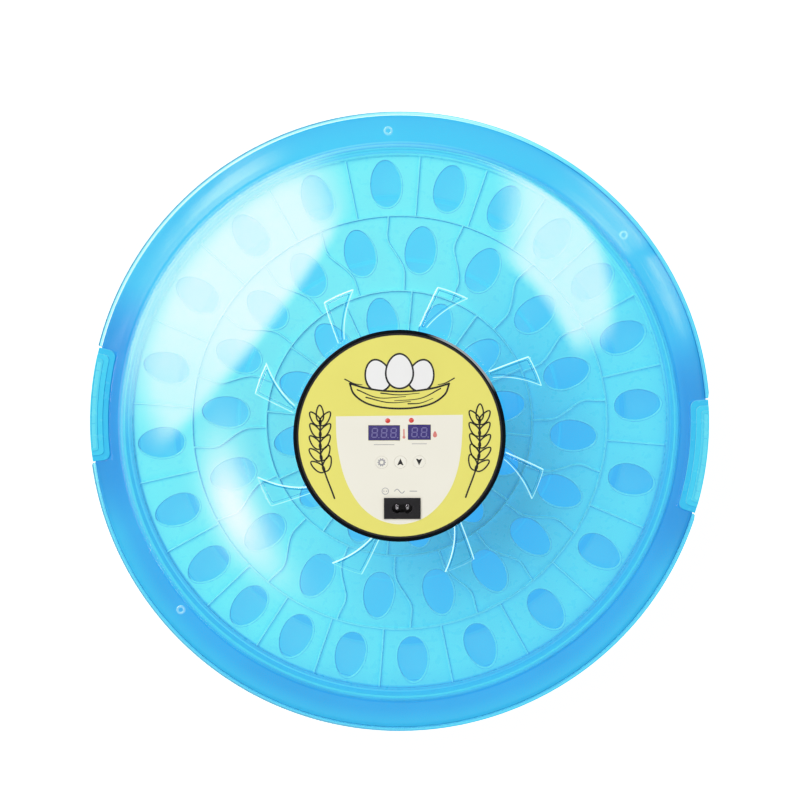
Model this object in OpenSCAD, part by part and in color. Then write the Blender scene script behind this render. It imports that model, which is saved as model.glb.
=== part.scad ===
// A round egg incubator with a water base, an egg tray, a clear dome and a control unit with
// panel, fan and heater. It rests on z = 0 with its axis on z; the power inlet is towards -y.

/* [Overall] */
// Outer radius of the lid's rim
lid_r = 270; // [262:1:280]
// Height of the rim's top face above the resting plane
rim_z = 81; // [81:1:81]
// Height of the control panel's bezel above the resting plane
top_z = 195; // [195:1:195]

/* [Base] */
// Outer radius of the base's flange
base_flange_r = 267; // [262:0.5:267.5]
// Inner radius of the base's mouth
mouth_r = 238; // [237.5:0.5:239]
// Height of the base's flange top
flange_z = 78; // [78:1:78]
// Moulded wall thickness
wall = 2.5; // [2:0.1:3]
// Height of the raised floor inside the base
floor_z = 46.5; // [44:0.5:50]
// Depth of the water troughs below the floor
trough_d = 22.5; // [16:0.5:24]

/* [Egg tray] */
// Radius of the tray
tray_r = 235; // [232:0.5:236.5]
// Underside of the tray plate
tray_z = 66.05; // [66.05:0.05:66.3]
// Thickness of the tray plate
tray_t = 2.25; // [2:0.05:3]
// Thickness of the dividing ribs
rib_t = 1.4; // [1:0.1:2]
// Height of the dividing ribs above the plate
rib_h = 3.5; // [2:0.5:5]
// Half width of an egg opening
egg_a = 13; // [11:0.5:14]
// Half length of an egg opening
egg_b = 20; // [17:0.5:22]
// Cells in the outer ring
n_outer = 22; // [22:1:22]
// Cells in the middle ring
n_middle = 18; // [18:1:18]
// Cells in the inner ring
n_inner = 12; // [12:1:12]
// Radius of the outer ring's egg centres
outer_egg_r = 209; // [207:0.5:210]
// Radius of the middle ring's egg centres
middle_egg_r = 152.5; // [150:0.5:154]
// Radius of the inner ring's egg centres
inner_egg_r = 90.6; // [90:0.1:93]
// Radius of the rib between the outer and middle rings
ring_rib_1 = 181.2; // [180:0.1:183]
// Radius of the rib between the middle and inner rings
ring_rib_2 = 116.3; // [115:0.1:118]

/* [Dome] */
// Radius of curvature of the dome's crown
dome_R = 427.3; // [427.3:0.1:427.3]
// Height of the crown's centre of curvature
dome_c = -261.3; // [-261.3:0.1:-261.3]
// Radius of the steep shoulder above the dome's foot
shoulder_r = 20; // [18:1:22]
// Wall of the clear dome
dome_t = 2.2; // [1.8:0.1:2.4]
// Radius of the dome's foot
dome_foot_r = 245; // [245:0.5:245]
// Number of raised air ducts round the control unit
n_ducts = 8; // [4:1:8]
// Radius of the ducts' outer ends
duct_r = 124; // [118:1:128]

/* [Control unit] */
// Outer radius of the control housing
unit_r = 85.8; // [85:0.1:86]
// Radius of the panel label
label_r = 81.4; // [80:0.1:82]
// Height of the housing's floor
unit_floor = 150; // [150:1:150]
// Height of the seat the housing is screwed to
seat_z = 157.6; // [157.6:0.1:157.6]
// Diameter of a button cap
button_d = 10; // [9:0.5:10]

/* [Fan] */
// Number of fan blades
n_blades = 7; // [5:1:9]
// Radius of the fan's blade tips
blade_r = 39.5; // [36:0.5:39.5]

/* [Hidden] */
$fn = 96;

fit = 0.05; // gap between parts that meet

// Colours shared by several nodes
steel = [0.75, 0.76, 0.78];
black = [0.05, 0.05, 0.06];
soft_black = [0.10, 0.10, 0.11];
chip_black = [0.07, 0.07, 0.08];
display_grey = [0.10, 0.10, 0.12];
grip_blue = [0.30, 0.82, 0.97];
window_violet = [0.17, 0.14, 0.42];
led_red = [0.85, 0.12, 0.10];
cream = [0.93, 0.92, 0.88];

// ---------------------------------------------------------------- helpers
function polar(radius, angle) = [radius * cos(angle), radius * sin(angle)];
function arc_angle(length, radius) = length / radius * 180 / PI;
function smooth(x) = let (t = min(1, max(0, x))) t * t * (3 - 2 * t);
function reversed(list) = [for (k = [len(list) - 1 : -1 : 0]) list[k]];
function at_height(place, z) = [place[0], place[1], z];

module tube(inner, outer, bottom, top) {
  rotate_extrude() translate([inner, bottom]) square([outer - inner, top - bottom]);
}
module disc(radius, bottom, top) {
  translate([0, 0, bottom]) cylinder(r = radius, h = top - bottom);
}
// Box centred on a place in plan
module block(center, size, bottom, top) {
  translate([center[0] - size[0] / 2, center[1] - size[1] / 2, bottom])
    cube([size[0], size[1], top - bottom]);
}
// Ring sector reaching half_angle to each side of the x axis
module sector(inner, outer, half_angle, bottom, top) {
  turn(-half_angle) rotate_extrude(angle = 2 * half_angle)
    translate([inner, bottom]) square([outer - inner, top - bottom]);
}
// A sector whose two inner corners are rounded
module soft_sector(inner, outer, half_angle, corner, bottom, top) {
  corner_angle = half_angle - arc_angle(corner, inner + corner);
  corner_r = inner + corner;
  translate([0, 0, bottom]) linear_extrude(top - bottom) polygon(concat(
    [for (k = [-12 : 12]) polar(outer, half_angle * k / 12)],
    [for (k = [0 : 5]) polar(corner_r, corner_angle) + polar(corner, corner_angle + 90 + 18 * k)],
    [for (k = [11 : -1 : -11]) polar(inner, corner_angle * k / 12)],
    [for (k = [0 : 5])
      polar(corner_r, -corner_angle) + polar(corner, 180 - corner_angle + 18 * k)]));
}
module turn(angle) { rotate([0, 0, angle]) children(); }
module at_polar(radius, angle) { turn(angle) translate([radius, 0, 0]) children(); }
module ring_of(count, radius, start = 0) {
  for (i = [0 : count - 1]) at_polar(radius, start + i * 360 / count) children();
}
module at_each(places) { for (place = places) translate(place) children(); }

// Screws with a cross slot; z is the height of the head's bearing face
module cross_slot(z) {
  for (a = [0, 90]) turn(a) translate([-1.6, -0.35, z]) cube([3.2, 0.7, 2]);
}
module screw_up(z, length) {
  head_h = 2.1;
  difference() {
    union() {
      disc(2.7, z - head_h, z);
      disc(1.25, z - 0.2, z + length);
    }
    cross_slot(z - head_h - 1);
  }
}
module screw_down(z, length, shank_r = 1.25, head_r = 2.7) {
  head_h = 1.3;
  difference() {
    union() {
      disc(head_r, z, z + head_h);
      disc(shank_r, z - length, z + 0.2);
    }
    cross_slot(z + head_h - 0.8);
  }
}
// A lead of straight runs with a ball at each bend
module lead(points, radius) {
  for (i = [0 : len(points) - 2]) {
    run = points[i + 1] - points[i];
    length = norm(run);
    translate(points[i]) rotate([0, acos(run[2] / length), atan2(run[1], run[0])])
      cylinder(r = radius, h = length, $fn = 32);
  }
  if (len(points) > 2)
    for (i = [1 : len(points) - 2]) translate(points[i]) sphere(r = radius + 0.12, $fn = 32);
}

// ---------------------------------------------------------------- base
foot_z = 4; // underside of the tub's skirt and foot bosses
tray_seat_z = 66;
troughs = [[64, 112], [142, 200]]; // inner and outer radius at the floor
trough_slope = 3; // radial run of a trough's side
trough_side = 2; // radial thickness of a trough's side
grip_half_angle = 10.7;
grip_angles = [176.2, -6]; // left, right

module at_grips() { for (a = grip_angles) turn(a) children(); }
module at_feet() { ring_of(4, 175, 45) children(); }

// Point on the curved skirt, s from 0 at the foot to 1 under the flange
function skirt(radius, s) = [radius + 25.5 * sin(90 * s), foot_z + 68 * s];
function trough_section(inner, outer, rim, bed) =
  [[inner, rim], [inner + trough_slope, bed], [outer - trough_slope, bed], [outer, rim]];
function trough_top(trough) =
  reversed(trough_section(trough[0], trough[1], floor_z, floor_z - trough_d));
function trough_underside(trough) = trough_section(trough[0] - trough_side,
  trough[1] + trough_side, floor_z - wall, floor_z - trough_d - wall);

// Half section: up the outside, inwards over the floor, back along the underside
module base_profile() {
  polygon(concat(
    [for (k = [0 : 8]) skirt(213, k / 8)],
    [[240.5, 75.5], [264.5, 75.5], [264.5, 60], [base_flange_r, 60], [base_flange_r, flange_z],
     [240, flange_z], [240, 83], [mouth_r, 83], [mouth_r, tray_seat_z], [228, tray_seat_z],
     [228, 63.4], [234.2, 63.4], [230.5, floor_z]],
    trough_top(troughs[1]),
    trough_top(troughs[0]),
    [[62, floor_z], [62, tray_seat_z], [59.5, tray_seat_z], [59.5, floor_z],
     [0, floor_z], [0, floor_z - wall]],
    trough_underside(troughs[0]),
    trough_underside(troughs[1]),
    [[228.5, floor_z - wall]],
    [for (k = [7 : -1 : 0]) skirt(210.4, k / 14.2)]));
}

module base_tub() color([0.16, 0.58, 0.93]) difference() {
  union() {
    rotate_extrude() base_profile();
    // Posts under the tray, foot bosses and radial ribs
    ring_of(6, 121.5, 30) disc(4.2, floor_z - 0.5, tray_seat_z);
    at_feet() disc(13, foot_z, floor_z - trough_d - 1);
    ring_of(12, 0, 15) translate([205, -1, 20]) cube([17, 2, 24.5]);
  }
  at_grips() sector(256, 300, 9.6, 50, 90);
  at_feet() disc(3.5, 3, 10.5);
}

module rubber_feet() color([0.08, 0.08, 0.09]) at_feet() difference() {
  union() {
    disc(11, 0, foot_z - fit);
    disc(3.4, 3, 9.5);
  }
  disc(5, -1, 1.2);
}

// Stepped tiers of a grip: inner radius, half angle trimmed, corner radius, top
grip_tiers = [[253, 0, 6, 79.8], [257.6, 1.1, 4.5, 81], [262.2, 2, 3, 82]];

module grip() {
  difference() {
    union() {
      for (tier = grip_tiers)
        soft_sector(tier[0], 269, grip_half_angle - tier[1], tier[2], flange_z + fit, tier[3]);
      sector(256.4, 268.5, 9.3, 62, 79);
    }
    // Hollow underneath and recess on top
    sector(258.6, 266.8, 8.85, 60, 78.4);
    sector(263.6, 266.8, 8.2, 78, 80);
    soft_sector(264.2, 267.6, grip_half_angle - 2.6, 1.5, 81.2, 84);
  }
  for (a = [-6.5 : 5 : 8.5]) turn(a) translate([264, -0.5, 81]) cube([3.9, 1, 0.8]);
}
module grip_left() color(grip_blue) turn(grip_angles[0]) grip();
module grip_right() color(grip_blue) turn(grip_angles[1]) grip();

seal_z = flange_z + 0.02;
module lid_seal() color([0.55, 0.80, 0.93]) rotate_extrude()
  polygon([[240.15, seal_z], [242.1, seal_z], [242.1, 79.6], [241.5, 82], [240.15, 82]]);

// ---------------------------------------------------------------- egg tray
rib_z = tray_z + tray_t;
rib_sink = 0.6; // how far the ribs run into the plate
hub_rib = [60, 61.4]; // inner and outer radius of the innermost ring rib
inner_start = 9.6; // angle of the inner ring's first cell

// Angles of the cells: the cells are wider across one diameter than across the other
function outer_angle(i) = let (a = i * 360 / n_outer) a + 5 * cos(2 * (a - 12));
function middle_angle(i) = let (a = i * 360 / n_middle + 19.7) a - 3.6 * cos(2 * a);
function inner_angle(i) = i * 360 / n_inner + inner_start;

module straight_rib(inner, outer, angle) {
  turn(angle) translate([inner, -rib_t / 2, rib_z - rib_sink])
    cube([outer - inner, rib_t, rib_h + rib_sink]);
}
// Rib between the two ring ribs; its inner part is turned back by a few degrees
module bent_rib(angle) {
  lean = 5; // degrees the inner part is turned
  bend_r = 161; // the turn starts here and is complete bend_run further in
  bend_run = 31;
  bulge = 0.7; // degrees of sideways bulge, centred on bulge_r
  bulge_r = 164;
  bulge_width = 9;
  radii = [for (k = [0 : 9]) ring_rib_2 + (ring_rib_1 - ring_rib_2) * k / 9];
  function middle(r) = angle - lean * smooth((bend_r - r) / bend_run)
    + bulge * exp(-pow((r - bulge_r) / bulge_width, 2));
  function edge(r, side) = polar(r, middle(r) + side * arc_angle(rib_t / 2, r));
  translate([0, 0, rib_z - rib_sink]) linear_extrude(rib_h + rib_sink) polygon(concat(
    [for (r = radii) edge(r, -1)],
    [for (r = reversed(radii)) edge(r, 1)]));
}
// Oval hole, broader at the end nearer the axis
module egg_opening(radius, angle) {
  skew = 0.9;
  at_polar(radius, angle) translate([0, 0, tray_z - 1]) linear_extrude(tray_t + 2)
    polygon([for (k = [0 : 31]) let (t = k * 360 / 32)
      [egg_b * cos(t) + skew * cos(2 * t) - skew, egg_a * sin(t)]]);
}

module egg_tray() color([0.42, 0.86, 0.98]) difference() {
  union() {
    disc(tray_r, tray_z, rib_z);
    tube(tray_r - 1.8, tray_r, rib_z - rib_sink, rib_z + 5);
    for (r = [ring_rib_1, ring_rib_2])
      tube(r - rib_t / 2, r + rib_t / 2, rib_z - rib_sink, rib_z + rib_h);
    tube(hub_rib[0], hub_rib[1], rib_z - rib_sink, rib_z + rib_h);
    for (i = [0 : n_outer - 1])
      straight_rib(ring_rib_1, tray_r - 0.9, (outer_angle(i) + outer_angle(i + 1)) / 2);
    for (i = [0 : n_middle - 1]) bent_rib((middle_angle(i) + middle_angle(i + 1)) / 2);
    for (i = [0 : n_inner - 1])
      straight_rib((hub_rib[0] + hub_rib[1]) / 2, ring_rib_2, inner_angle(i) + 180 / n_inner);
  }
  for (i = [0 : n_outer - 1]) egg_opening(outer_egg_r, outer_angle(i));
  for (i = [0 : n_middle - 1]) egg_opening(middle_egg_r, middle_angle(i));
  for (i = [0 : n_inner - 1]) egg_opening(inner_egg_r, inner_angle(i));
  // Round holes inside the innermost rib
  for (k = [1 : 3]) ring_of(6 * k, 15 * k, inner_start) disc(4.5, tray_z - 1, tray_z + 5);
  disc(6, tray_z - 1, tray_z + 5);
}

// ---------------------------------------------------------------- lid
lid_bore_r = 74; // opening the control unit hangs through
ledge_t = 2.4; // thickness of the ledge round the bore
duct_start_r = 86.5;
vents = [[253.5, 92.2], [253.5, 40.3], [250.5, 220.3]]; // radius, angle

shoulder_angle = asin((dome_foot_r - 0.4 - shoulder_r) / (dome_R - shoulder_r));
shoulder_center = [0, dome_c] + (dome_R - shoulder_r) * [sin(shoulder_angle), cos(shoulder_angle)];

// Section of the dome's skin from inner_r out to the foot
function skin(inset, inner_r) =
  let (start = asin(inner_r / (dome_R - inset)), crown_steps = 16, shoulder_steps = 9) concat(
    [for (k = [0 : crown_steps])
      let (a = start + (shoulder_angle - start) * k / crown_steps)
      [0, dome_c] + (dome_R - inset) * [sin(a), cos(a)]],
    [for (k = [1 : shoulder_steps])
      let (a = shoulder_angle + (90 - shoulder_angle) * k / shoulder_steps)
      shoulder_center + (shoulder_r - inset) * [sin(a), cos(a)]]);

// Plan of one raised air duct, which narrows and swings clockwise going outwards
module duct_plan(inset) {
  inner = inset > 0 ? 94 : duct_start_r;
  outer = duct_r - inset;
  steps = 7;
  radii = [for (k = [0 : steps]) inner + (outer - inner) * k / steps];
  function share(r) = max(0, (r - duct_start_r) / (duct_r - duct_start_r));
  function low_side(r) = 31 - 13.3 * pow(share(r), 1.15) + arc_angle(inset, r);
  function high_side(r) = 35.2 - 4.9 * pow(share(r), 0.8) - arc_angle(inset, r);
  polygon(concat(
    [for (r = radii) polar(r, low_side(r))],
    [for (r = reversed(radii)) polar(r, high_side(r))]));
}
module ducts(inset) {
  intersection() {
    ring_of(n_ducts, 0) translate([0, 0, 140]) linear_extrude(40) duct_plan(inset);
    rotate_extrude() polygon([[50, 142], [128, 142], [128, 151.6 - inset],
      [86.4, 162.2 - inset], [50, 162.2 - inset]]);
  }
}
module at_vents() { for (vent = vents) at_polar(vent[0], vent[1]) children(); }
module at_housing_screws() { ring_of(6, 79.5) children(); }

module dome_lid() color([0.75, 0.93, 1.0, 0.25]) difference() {
  union() {
    difference() {
      union() {
        rotate_extrude() polygon(concat(skin(0, 87), reversed(skin(dome_t, 87))));
        // Only the part of the ducts above the skin's mid surface
        difference() {
          ducts(0);
          rotate_extrude() polygon(concat([[40, 100]], skin(dome_t / 2, 40), [[236, 100]]));
        }
      }
      ducts(dome_t);
    }
    tube(lid_bore_r, 88.2, seat_z - ledge_t, seat_z);
    tube(dome_foot_r - 1.2, lid_r, flange_z + fit, rim_z);
    tube(lid_r - 1.8, lid_r, 71, rim_z);
    at_vents() disc(3.7, rim_z - 0.5, rim_z + 1.6);
  }
  at_grips() sector(252.3, 300, 11.35, 50, 90);
  at_vents() disc(2, flange_z - 1, flange_z + 7);
  at_housing_screws() disc(1.7, 150, 170);
  disc(lid_bore_r, 140, 190);
}

module housing_gasket() color([0.85, 0.87, 0.88]) difference() {
  tube(75, 83.8, seat_z + fit, seat_z + 0.85);
  at_housing_screws() disc(1.7, 150, 170);
}

// ---------------------------------------------------------------- heights and places in the unit
housing_z = seat_z + 0.9; // underside of the housing's outer flange
unit_deck = unit_floor + 2.5; // top of the housing's floor
panel_z = top_z - 3.5;
panel_top = top_z - 1;
label_top = panel_top + 0.4;
panel_screw_z = panel_z + 1;
board_z = 182.7;
board_top = board_z + 1.6;
board_part_z = board_top + fit;
power_board_z = 158;
power_board_top = power_board_z + 1.6;
power_part_z = power_board_top + fit;
fan_top = 148;
fan_ear_z = fan_top - 3.5;
guard_flange_z = 147.6;
guard_top = unit_floor - 0.1;

// Places in plan, measured from the unit's axis
board_posts = [[-40, -26], [40, -26], [-40, 22], [40, 22]];
power_board_posts = [[-32, 2], [32, 2], [-32, 36], [32, 36]];
temperature_at = [-12.4, 2.7];
temperature_size = [25.6, 12.4];
humidity_at = [16.0, 3.2];
humidity_size = [18.5, 12.4];
heating_led_at = [-9.5, 12.5];
humidity_led_at = [9.5, 12.8];
buttons_at = [[-14.4, -21.2], [0.7, -21], [15.8, -20.7]]; // settings, up, down
inlet_at = [2.2, -58.5];
inlet_body = [26.6, 14.4];
pin_gap = 8.6;
heater_r = 54;
heater_z = 135;
terminal_angles = [-12, 12];
sensor_at = polar(60.8, 100);
wire_hole = polar(60, 205);

module at_panel_screws() { ring_of(4, 77, 45) children(); }
module at_fan_ears() { ring_of(4, 46.5, 45) children(); }
module at_guard_screws() { ring_of(3, 65.1, 30) children(); }
module at_terminals() { for (a = terminal_angles) at_polar(heater_r, a) children(); }

// ---------------------------------------------------------------- control housing
module control_housing() color(black) difference() {
  union() {
    // Outer wall with a groove below the bezel
    rotate_extrude() polygon([[82, housing_z], [84.5, housing_z], [unit_r - 0.25, 190],
      [unit_r - 0.85, 190.2], [unit_r - 0.85, 191], [unit_r - 0.2, 191.2],
      [unit_r, top_z - 0.6], [unit_r - 0.6, top_z], [83.3, top_z], [83.3, 190.5]]);
    tube(71, 83, housing_z, housing_z + 2.5);
    tube(71, 73.3, unit_floor, housing_z + 1);
    disc(73.3, unit_floor, unit_deck);
    // Screw posts
    at_housing_screws() disc(3.2, housing_z + 1, housing_z + 9);
    at_panel_screws() disc(3.2, housing_z + 1, panel_z - fit);
    at_each(board_posts) disc(3.2, unit_deck - 0.5, board_z - fit);
    at_each(power_board_posts) disc(3, unit_deck - 0.5, power_board_z - fit);
    at_fan_ears() disc(4, fan_top + fit, 151);
  }
  // Screw holes
  at_housing_screws() disc(1.3, housing_z - 1, housing_z + 8);
  at_panel_screws() disc(1.3, 182, 195);
  at_each(board_posts) disc(1.3, 170, 190);
  at_each(power_board_posts) disc(1.1, 153.2, 160);
  at_fan_ears() disc(1.3, 140, 151.8);
  at_guard_screws() disc(1.3, 140, 151.8);
  // Holes for the heater terminals, the sensor and the fan lead
  at_terminals() disc(2.7, 140, 160);
  translate(sensor_at) disc(2.8, 140, 160);
  translate(wire_hole) disc(3.2, 140, 160);
}
module housing_screws() color(steel) at_housing_screws() screw_up(seat_z - ledge_t - fit, 9.5);

// ---------------------------------------------------------------- panel
module panel_openings() {
  block(temperature_at, temperature_size, 190, 195);
  block(humidity_at, humidity_size, 190, 195);
  at_each([heating_led_at, humidity_led_at]) disc(2.2, 190, 195);
  at_each(buttons_at) disc(button_d / 2 + 0.2, 190, 195);
  block(inlet_at, inlet_body + [0.4, 0.4], 190, 195);
}
module panel_plate() color(black) difference() {
  disc(83.1, panel_z, panel_top);
  panel_openings();
  at_panel_screws() {
    disc(1.5, 190, 195);
    disc(2.9, panel_screw_z - fit, 195);
  }
}
module panel_screws() color(steel) at_panel_screws() screw_down(panel_screw_z, 6.5);
module panel_label() color([0.90, 0.87, 0.47]) difference() {
  disc(label_r, panel_top + 0.02, label_top);
  panel_openings();
}

module window(center, opening) { block(center, opening - [0.2, 0.2], 192.6, 194.5); }
module temperature_window() color(window_violet) window(temperature_at, temperature_size);
module humidity_window() color(window_violet) window(humidity_at, humidity_size);

// Seven segment digit, lying flat
module digit() {
  width = 4.2;
  height = 7.6;
  bar = 0.9;
  bottom = 191.2;
  top = bottom + 0.25;
  for (y = [-1, 0, 1]) block([0, y * height / 2], [width - 2 * bar, bar], bottom, top);
  for (x = [-1, 1], y = [-1, 1])
    block([x * width / 2, y * height / 4], [bar, height / 2 - 1.6 * bar], bottom, top);
}
module display_module(center, size, digits) {
  digit_pitch = 7.6;
  difference() {
    block(center, size, board_part_z, 191.3);
    block(center, size - [3, 3], 183, 186);
  }
  for (i = [0 : digits - 1])
    translate([center[0] + (i - (digits - 1) / 2) * digit_pitch, center[1], 0]) digit();
}
module temperature_display() color(display_grey) display_module(temperature_at, [24.4, 14], 3);
module humidity_display() color(display_grey) display_module(humidity_at, [17.2, 14], 2);

// LED with a collar on the board and a domed tip
module led(place) {
  tip_z = 194.1;
  translate(place) {
    disc(2, 186, tip_z);
    disc(2.5, board_part_z, 186.2);
    translate([0, 0, tip_z]) intersection() {
      translate([0, 0, -1.7]) sphere(r = 2.4, $fn = 48);
      disc(1.9, -0.1, 2);
    }
  }
}
module heating_led() color(led_red) led(heating_led_at);
module humidity_led() color(led_red) led(humidity_led_at);

// Button cap with a retaining collar and a stem
module button(place) {
  cap_z = 190.4;
  translate(place) {
    disc(button_d / 2, cap_z, 194.55);
    disc(button_d / 2 + 1.2, cap_z, 191.35);
    disc(1.6, 189.35, 190.6);
  }
}
module settings_button() color(cream) button(buttons_at[0]);
module up_button() color(cream) button(buttons_at[1]);
module down_button() color(cream) button(buttons_at[2]);

// ---------------------------------------------------------------- control board
module tact_switches() color([0.12, 0.12, 0.13]) at_each(buttons_at) {
  block([0, 0], [6, 6], board_part_z, 187.8);
  disc(1.7, 187.7, 188.75);
}
module control_board() color([0.08, 0.35, 0.18]) difference() {
  block([0, -2], [90, 58], board_z, board_top);
  at_each(board_posts) disc(1.6, 180, 190);
}
module control_board_screws() color(steel) at_each(board_posts) screw_down(board_part_z, 7);

module microcontroller() color(chip_black) {
  chip_at = [-30, -17];
  leg_row = 5.6; // chip centre to a row of legs
  leg_pitch = 1.25;
  block(chip_at, [10, 10], 184.5, 186.1);
  for (side = [-1, 1], k = [-3 : 3]) {
    block(chip_at + [side * leg_row, k * leg_pitch], [1.6, 0.5], 184.32, 185);
    block(chip_at + [k * leg_pitch, side * leg_row], [0.5, 1.6], 184.32, 185);
  }
}
module buzzer() color(chip_black) translate([32, -16, 0]) difference() {
  disc(6, board_part_z, 190.5);
  disc(1, 186, 192);
}

// ---------------------------------------------------------------- power electronics
module power_board() color([0.62, 0.50, 0.22]) difference() {
  block([0, 19], [72, 44], power_board_z, power_board_top);
  at_each(power_board_posts) disc(1.4, 150, 170);
}
module power_board_screws() color(steel) at_each(power_board_posts)
  screw_down(power_part_z, 5.5, shank_r = 1.05, head_r = 2.4);
module transformer() color([0.85, 0.72, 0.25]) translate([-22, 20, 0]) {
  block([0, 0], [17, 15], 162, 174);
  block([0, 0], [20, 18], power_part_z, 162.2);
  block([0, 0], [20, 18], 173.8, 176);
}
module relay() color([0.10, 0.25, 0.62]) block([5, 24], [19, 15.2], power_part_z, 175);
module capacitors() color([0.15, 0.16, 0.20]) {
  translate([26, 13, 0]) disc(6.3, power_part_z, 176);
  translate([26, 27, 0]) disc(4, power_part_z, 171);
}

function pin_at(side) = inlet_at + [side * pin_gap / 2, 0];
module at_pins() { at_each([pin_at(-1), pin_at(1)]) children(); }

module power_inlet() color([0.06, 0.06, 0.07]) difference() {
  union() {
    block(inlet_at, [29.6, 17], label_top + fit, 195.9);
    block(inlet_at, inlet_body, 176, 194.6);
  }
  // Socket shaped as two joined rounds, flattened along its sides
  intersection() {
    block(inlet_at, [17, 9], 182, 200);
    union() {
      at_pins() disc(4, 182, 200);
      block(inlet_at, [pin_gap, 6.4], 182, 200);
    }
  }
  at_pins() disc(1.55, 170, 190);
}
module inlet_pins() color([0.80, 0.81, 0.83]) at_pins() {
  disc(1.5, 172, 182);
  disc(1.2, 182, 193);
}
module mains_leads() color(soft_black) for (side = [-1, 1]) {
  pin = pin_at(side);
  end = [pin[0], 2];
  lead([at_height(pin, 171.9), at_height(pin, 163), at_height(end, 163),
    at_height(end, power_board_top + 0.1)], 1);
}

// ---------------------------------------------------------------- fan
module fan_frame() color(soft_black) difference() {
  union() {
    tube(41, 43.5, 123, fan_top);
    at_fan_ears() disc(4.5, fan_ear_z, fan_top);
    ring_of(4, 0) translate([12, -2, fan_ear_z]) cube([30, 4, fan_top - fan_ear_z]);
    disc(16, fan_ear_z, fan_top);
    disc(4.4, 140.5, fan_top);
  }
  at_fan_ears() disc(1.7, 140, 150);
  disc(3.05, 130, 147);
}
module fan_bush() color([0.80, 0.66, 0.30]) tube(1.53, 3, 129, 146.9);
// Hub, four arms and a ring split into four poles
module fan_stator() color([0.72, 0.42, 0.20]) {
  tube(3.1, 6, 128.5, 140.4);
  ring_of(4, 0, 45) translate([5, -2, 129.5]) cube([6.5, 4, 9.5]);
  difference() {
    tube(10.5, 14, 129.5, 139);
    ring_of(4, 0) translate([9, -3.5, 120]) cube([8, 7, 30]);
  }
}
// Cup, shaft and pitched blades trimmed to the tip radius
module fan_rotor() color([0.14, 0.14, 0.16]) {
  blade_pitch = 38;
  difference() {
    disc(18, 124, 140);
    disc(15.3, 126.2, 141);
  }
  disc(1.5, 125.5, 145.5);
  intersection() {
    ring_of(n_blades, 0) translate([16.5, 0, 133.5]) rotate([blade_pitch, 0, 0])
      translate([0, -12, -0.8]) cube([30, 24, 1.6]);
    tube(17, blade_r, 125, 143.6);
  }
}
module fan_screws() color(steel) at_fan_ears() screw_up(fan_ear_z - fit, 7);
module fan_lead() color([0.65, 0.12, 0.10]) for (i = [0, 1]) {
  start = [-12.5 - 2.6 * i, -5 + 2 * i];
  hole = wire_hole + [1.4 - 2.8 * i, 0];
  end = [-24 - 3 * i, -1];
  lead([at_height(start, fan_top + 0.1), at_height(start, 149), at_height(hole, 149),
    at_height(hole, 156), at_height(end, 156), at_height(end, power_board_z - 0.1)], 0.7);
}

// ---------------------------------------------------------------- heater
module heater_ring() color([0.80, 0.80, 0.82]) {
  turn(terminal_angles[1]) rotate_extrude(angle = 336)
    translate([heater_r, heater_z]) circle(r = 3, $fn = 48);
  at_terminals() {
    disc(2.3, heater_z, 154);
    disc(3.3, heater_z - 3.3, heater_z + 3.3);
  }
}
module heater_clips() color([0.82, 0.83, 0.84]) for (a = [75, 165, 255]) turn(a) difference() {
  translate([heater_r - 4.6, -4, 130.2]) cube([9.2, 8, 19.75]);
  turn(-20) rotate_extrude(angle = 40)
    translate([heater_r, heater_z]) circle(r = 3.1, $fn = 48);
  translate([heater_r - 3.1, -5, 139.5]) cube([6.2, 10, 9]);
}
module heater_leads() color([0.90, 0.90, 0.88]) for (i = [0, 1]) {
  terminal = polar(heater_r, terminal_angles[i]);
  end = [34.5, 7 + 8 * i];
  lead([at_height(terminal, 154.1), at_height(terminal, 170), at_height(end, 170),
    at_height(end, power_board_top + 0.1)], 1);
}
module thermal_cutout() color([0.84, 0.84, 0.86]) translate(polar(62, 300)) {
  disc(6, unit_deck + fit, 157);
  disc(4, 156.5, 161);
}

// Basket below the heater: slotted wall, top flange, grille of rings and spokes
guard_z = 110;
module heater_guard() color(soft_black) difference() {
  union() {
    rotate_extrude() polygon([[68, guard_z], [70, guard_z], [70, guard_top],
      [62.3, guard_top], [62.3, guard_flange_z], [68, guard_flange_z]]);
    for (r = [16, 29, 42, 55]) tube(r, r + 2.6, guard_z, guard_z + 2.4);
    ring_of(8, 0, 12) translate([16.8, -1.3, guard_z + 0.2]) cube([52.2, 2.6, 2]);
  }
  ring_of(30, 0, 6) translate([60, -2.5, 116]) cube([15, 5, 24]);
  at_guard_screws() disc(1.7, 140, 152);
  translate(sensor_at) disc(3.8, 145, 152);
}
module guard_screws() color(steel) at_guard_screws() screw_up(guard_flange_z - fit, 4);

// ---------------------------------------------------------------- sensor
module sensor_probe() color([0.92, 0.92, 0.90]) translate(sensor_at) difference() {
  union() {
    disc(2.4, 120, 153.5);
    disc(3.2, guard_flange_z, guard_top);
  }
  disc(1.5, 118, 130);
  for (z = [122, 125, 128], a = [0, 90]) turn(a) translate([-5, -0.5, z]) cube([10, 1, 1.4]);
}
module sensor_lead() color([0.20, 0.20, 0.22]) {
  end = [-10, 24];
  lead([at_height(sensor_at, 153.6), at_height(sensor_at, 180), at_height(end, 180),
    at_height(end, board_z - 0.1)], 1.1);
}

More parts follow.
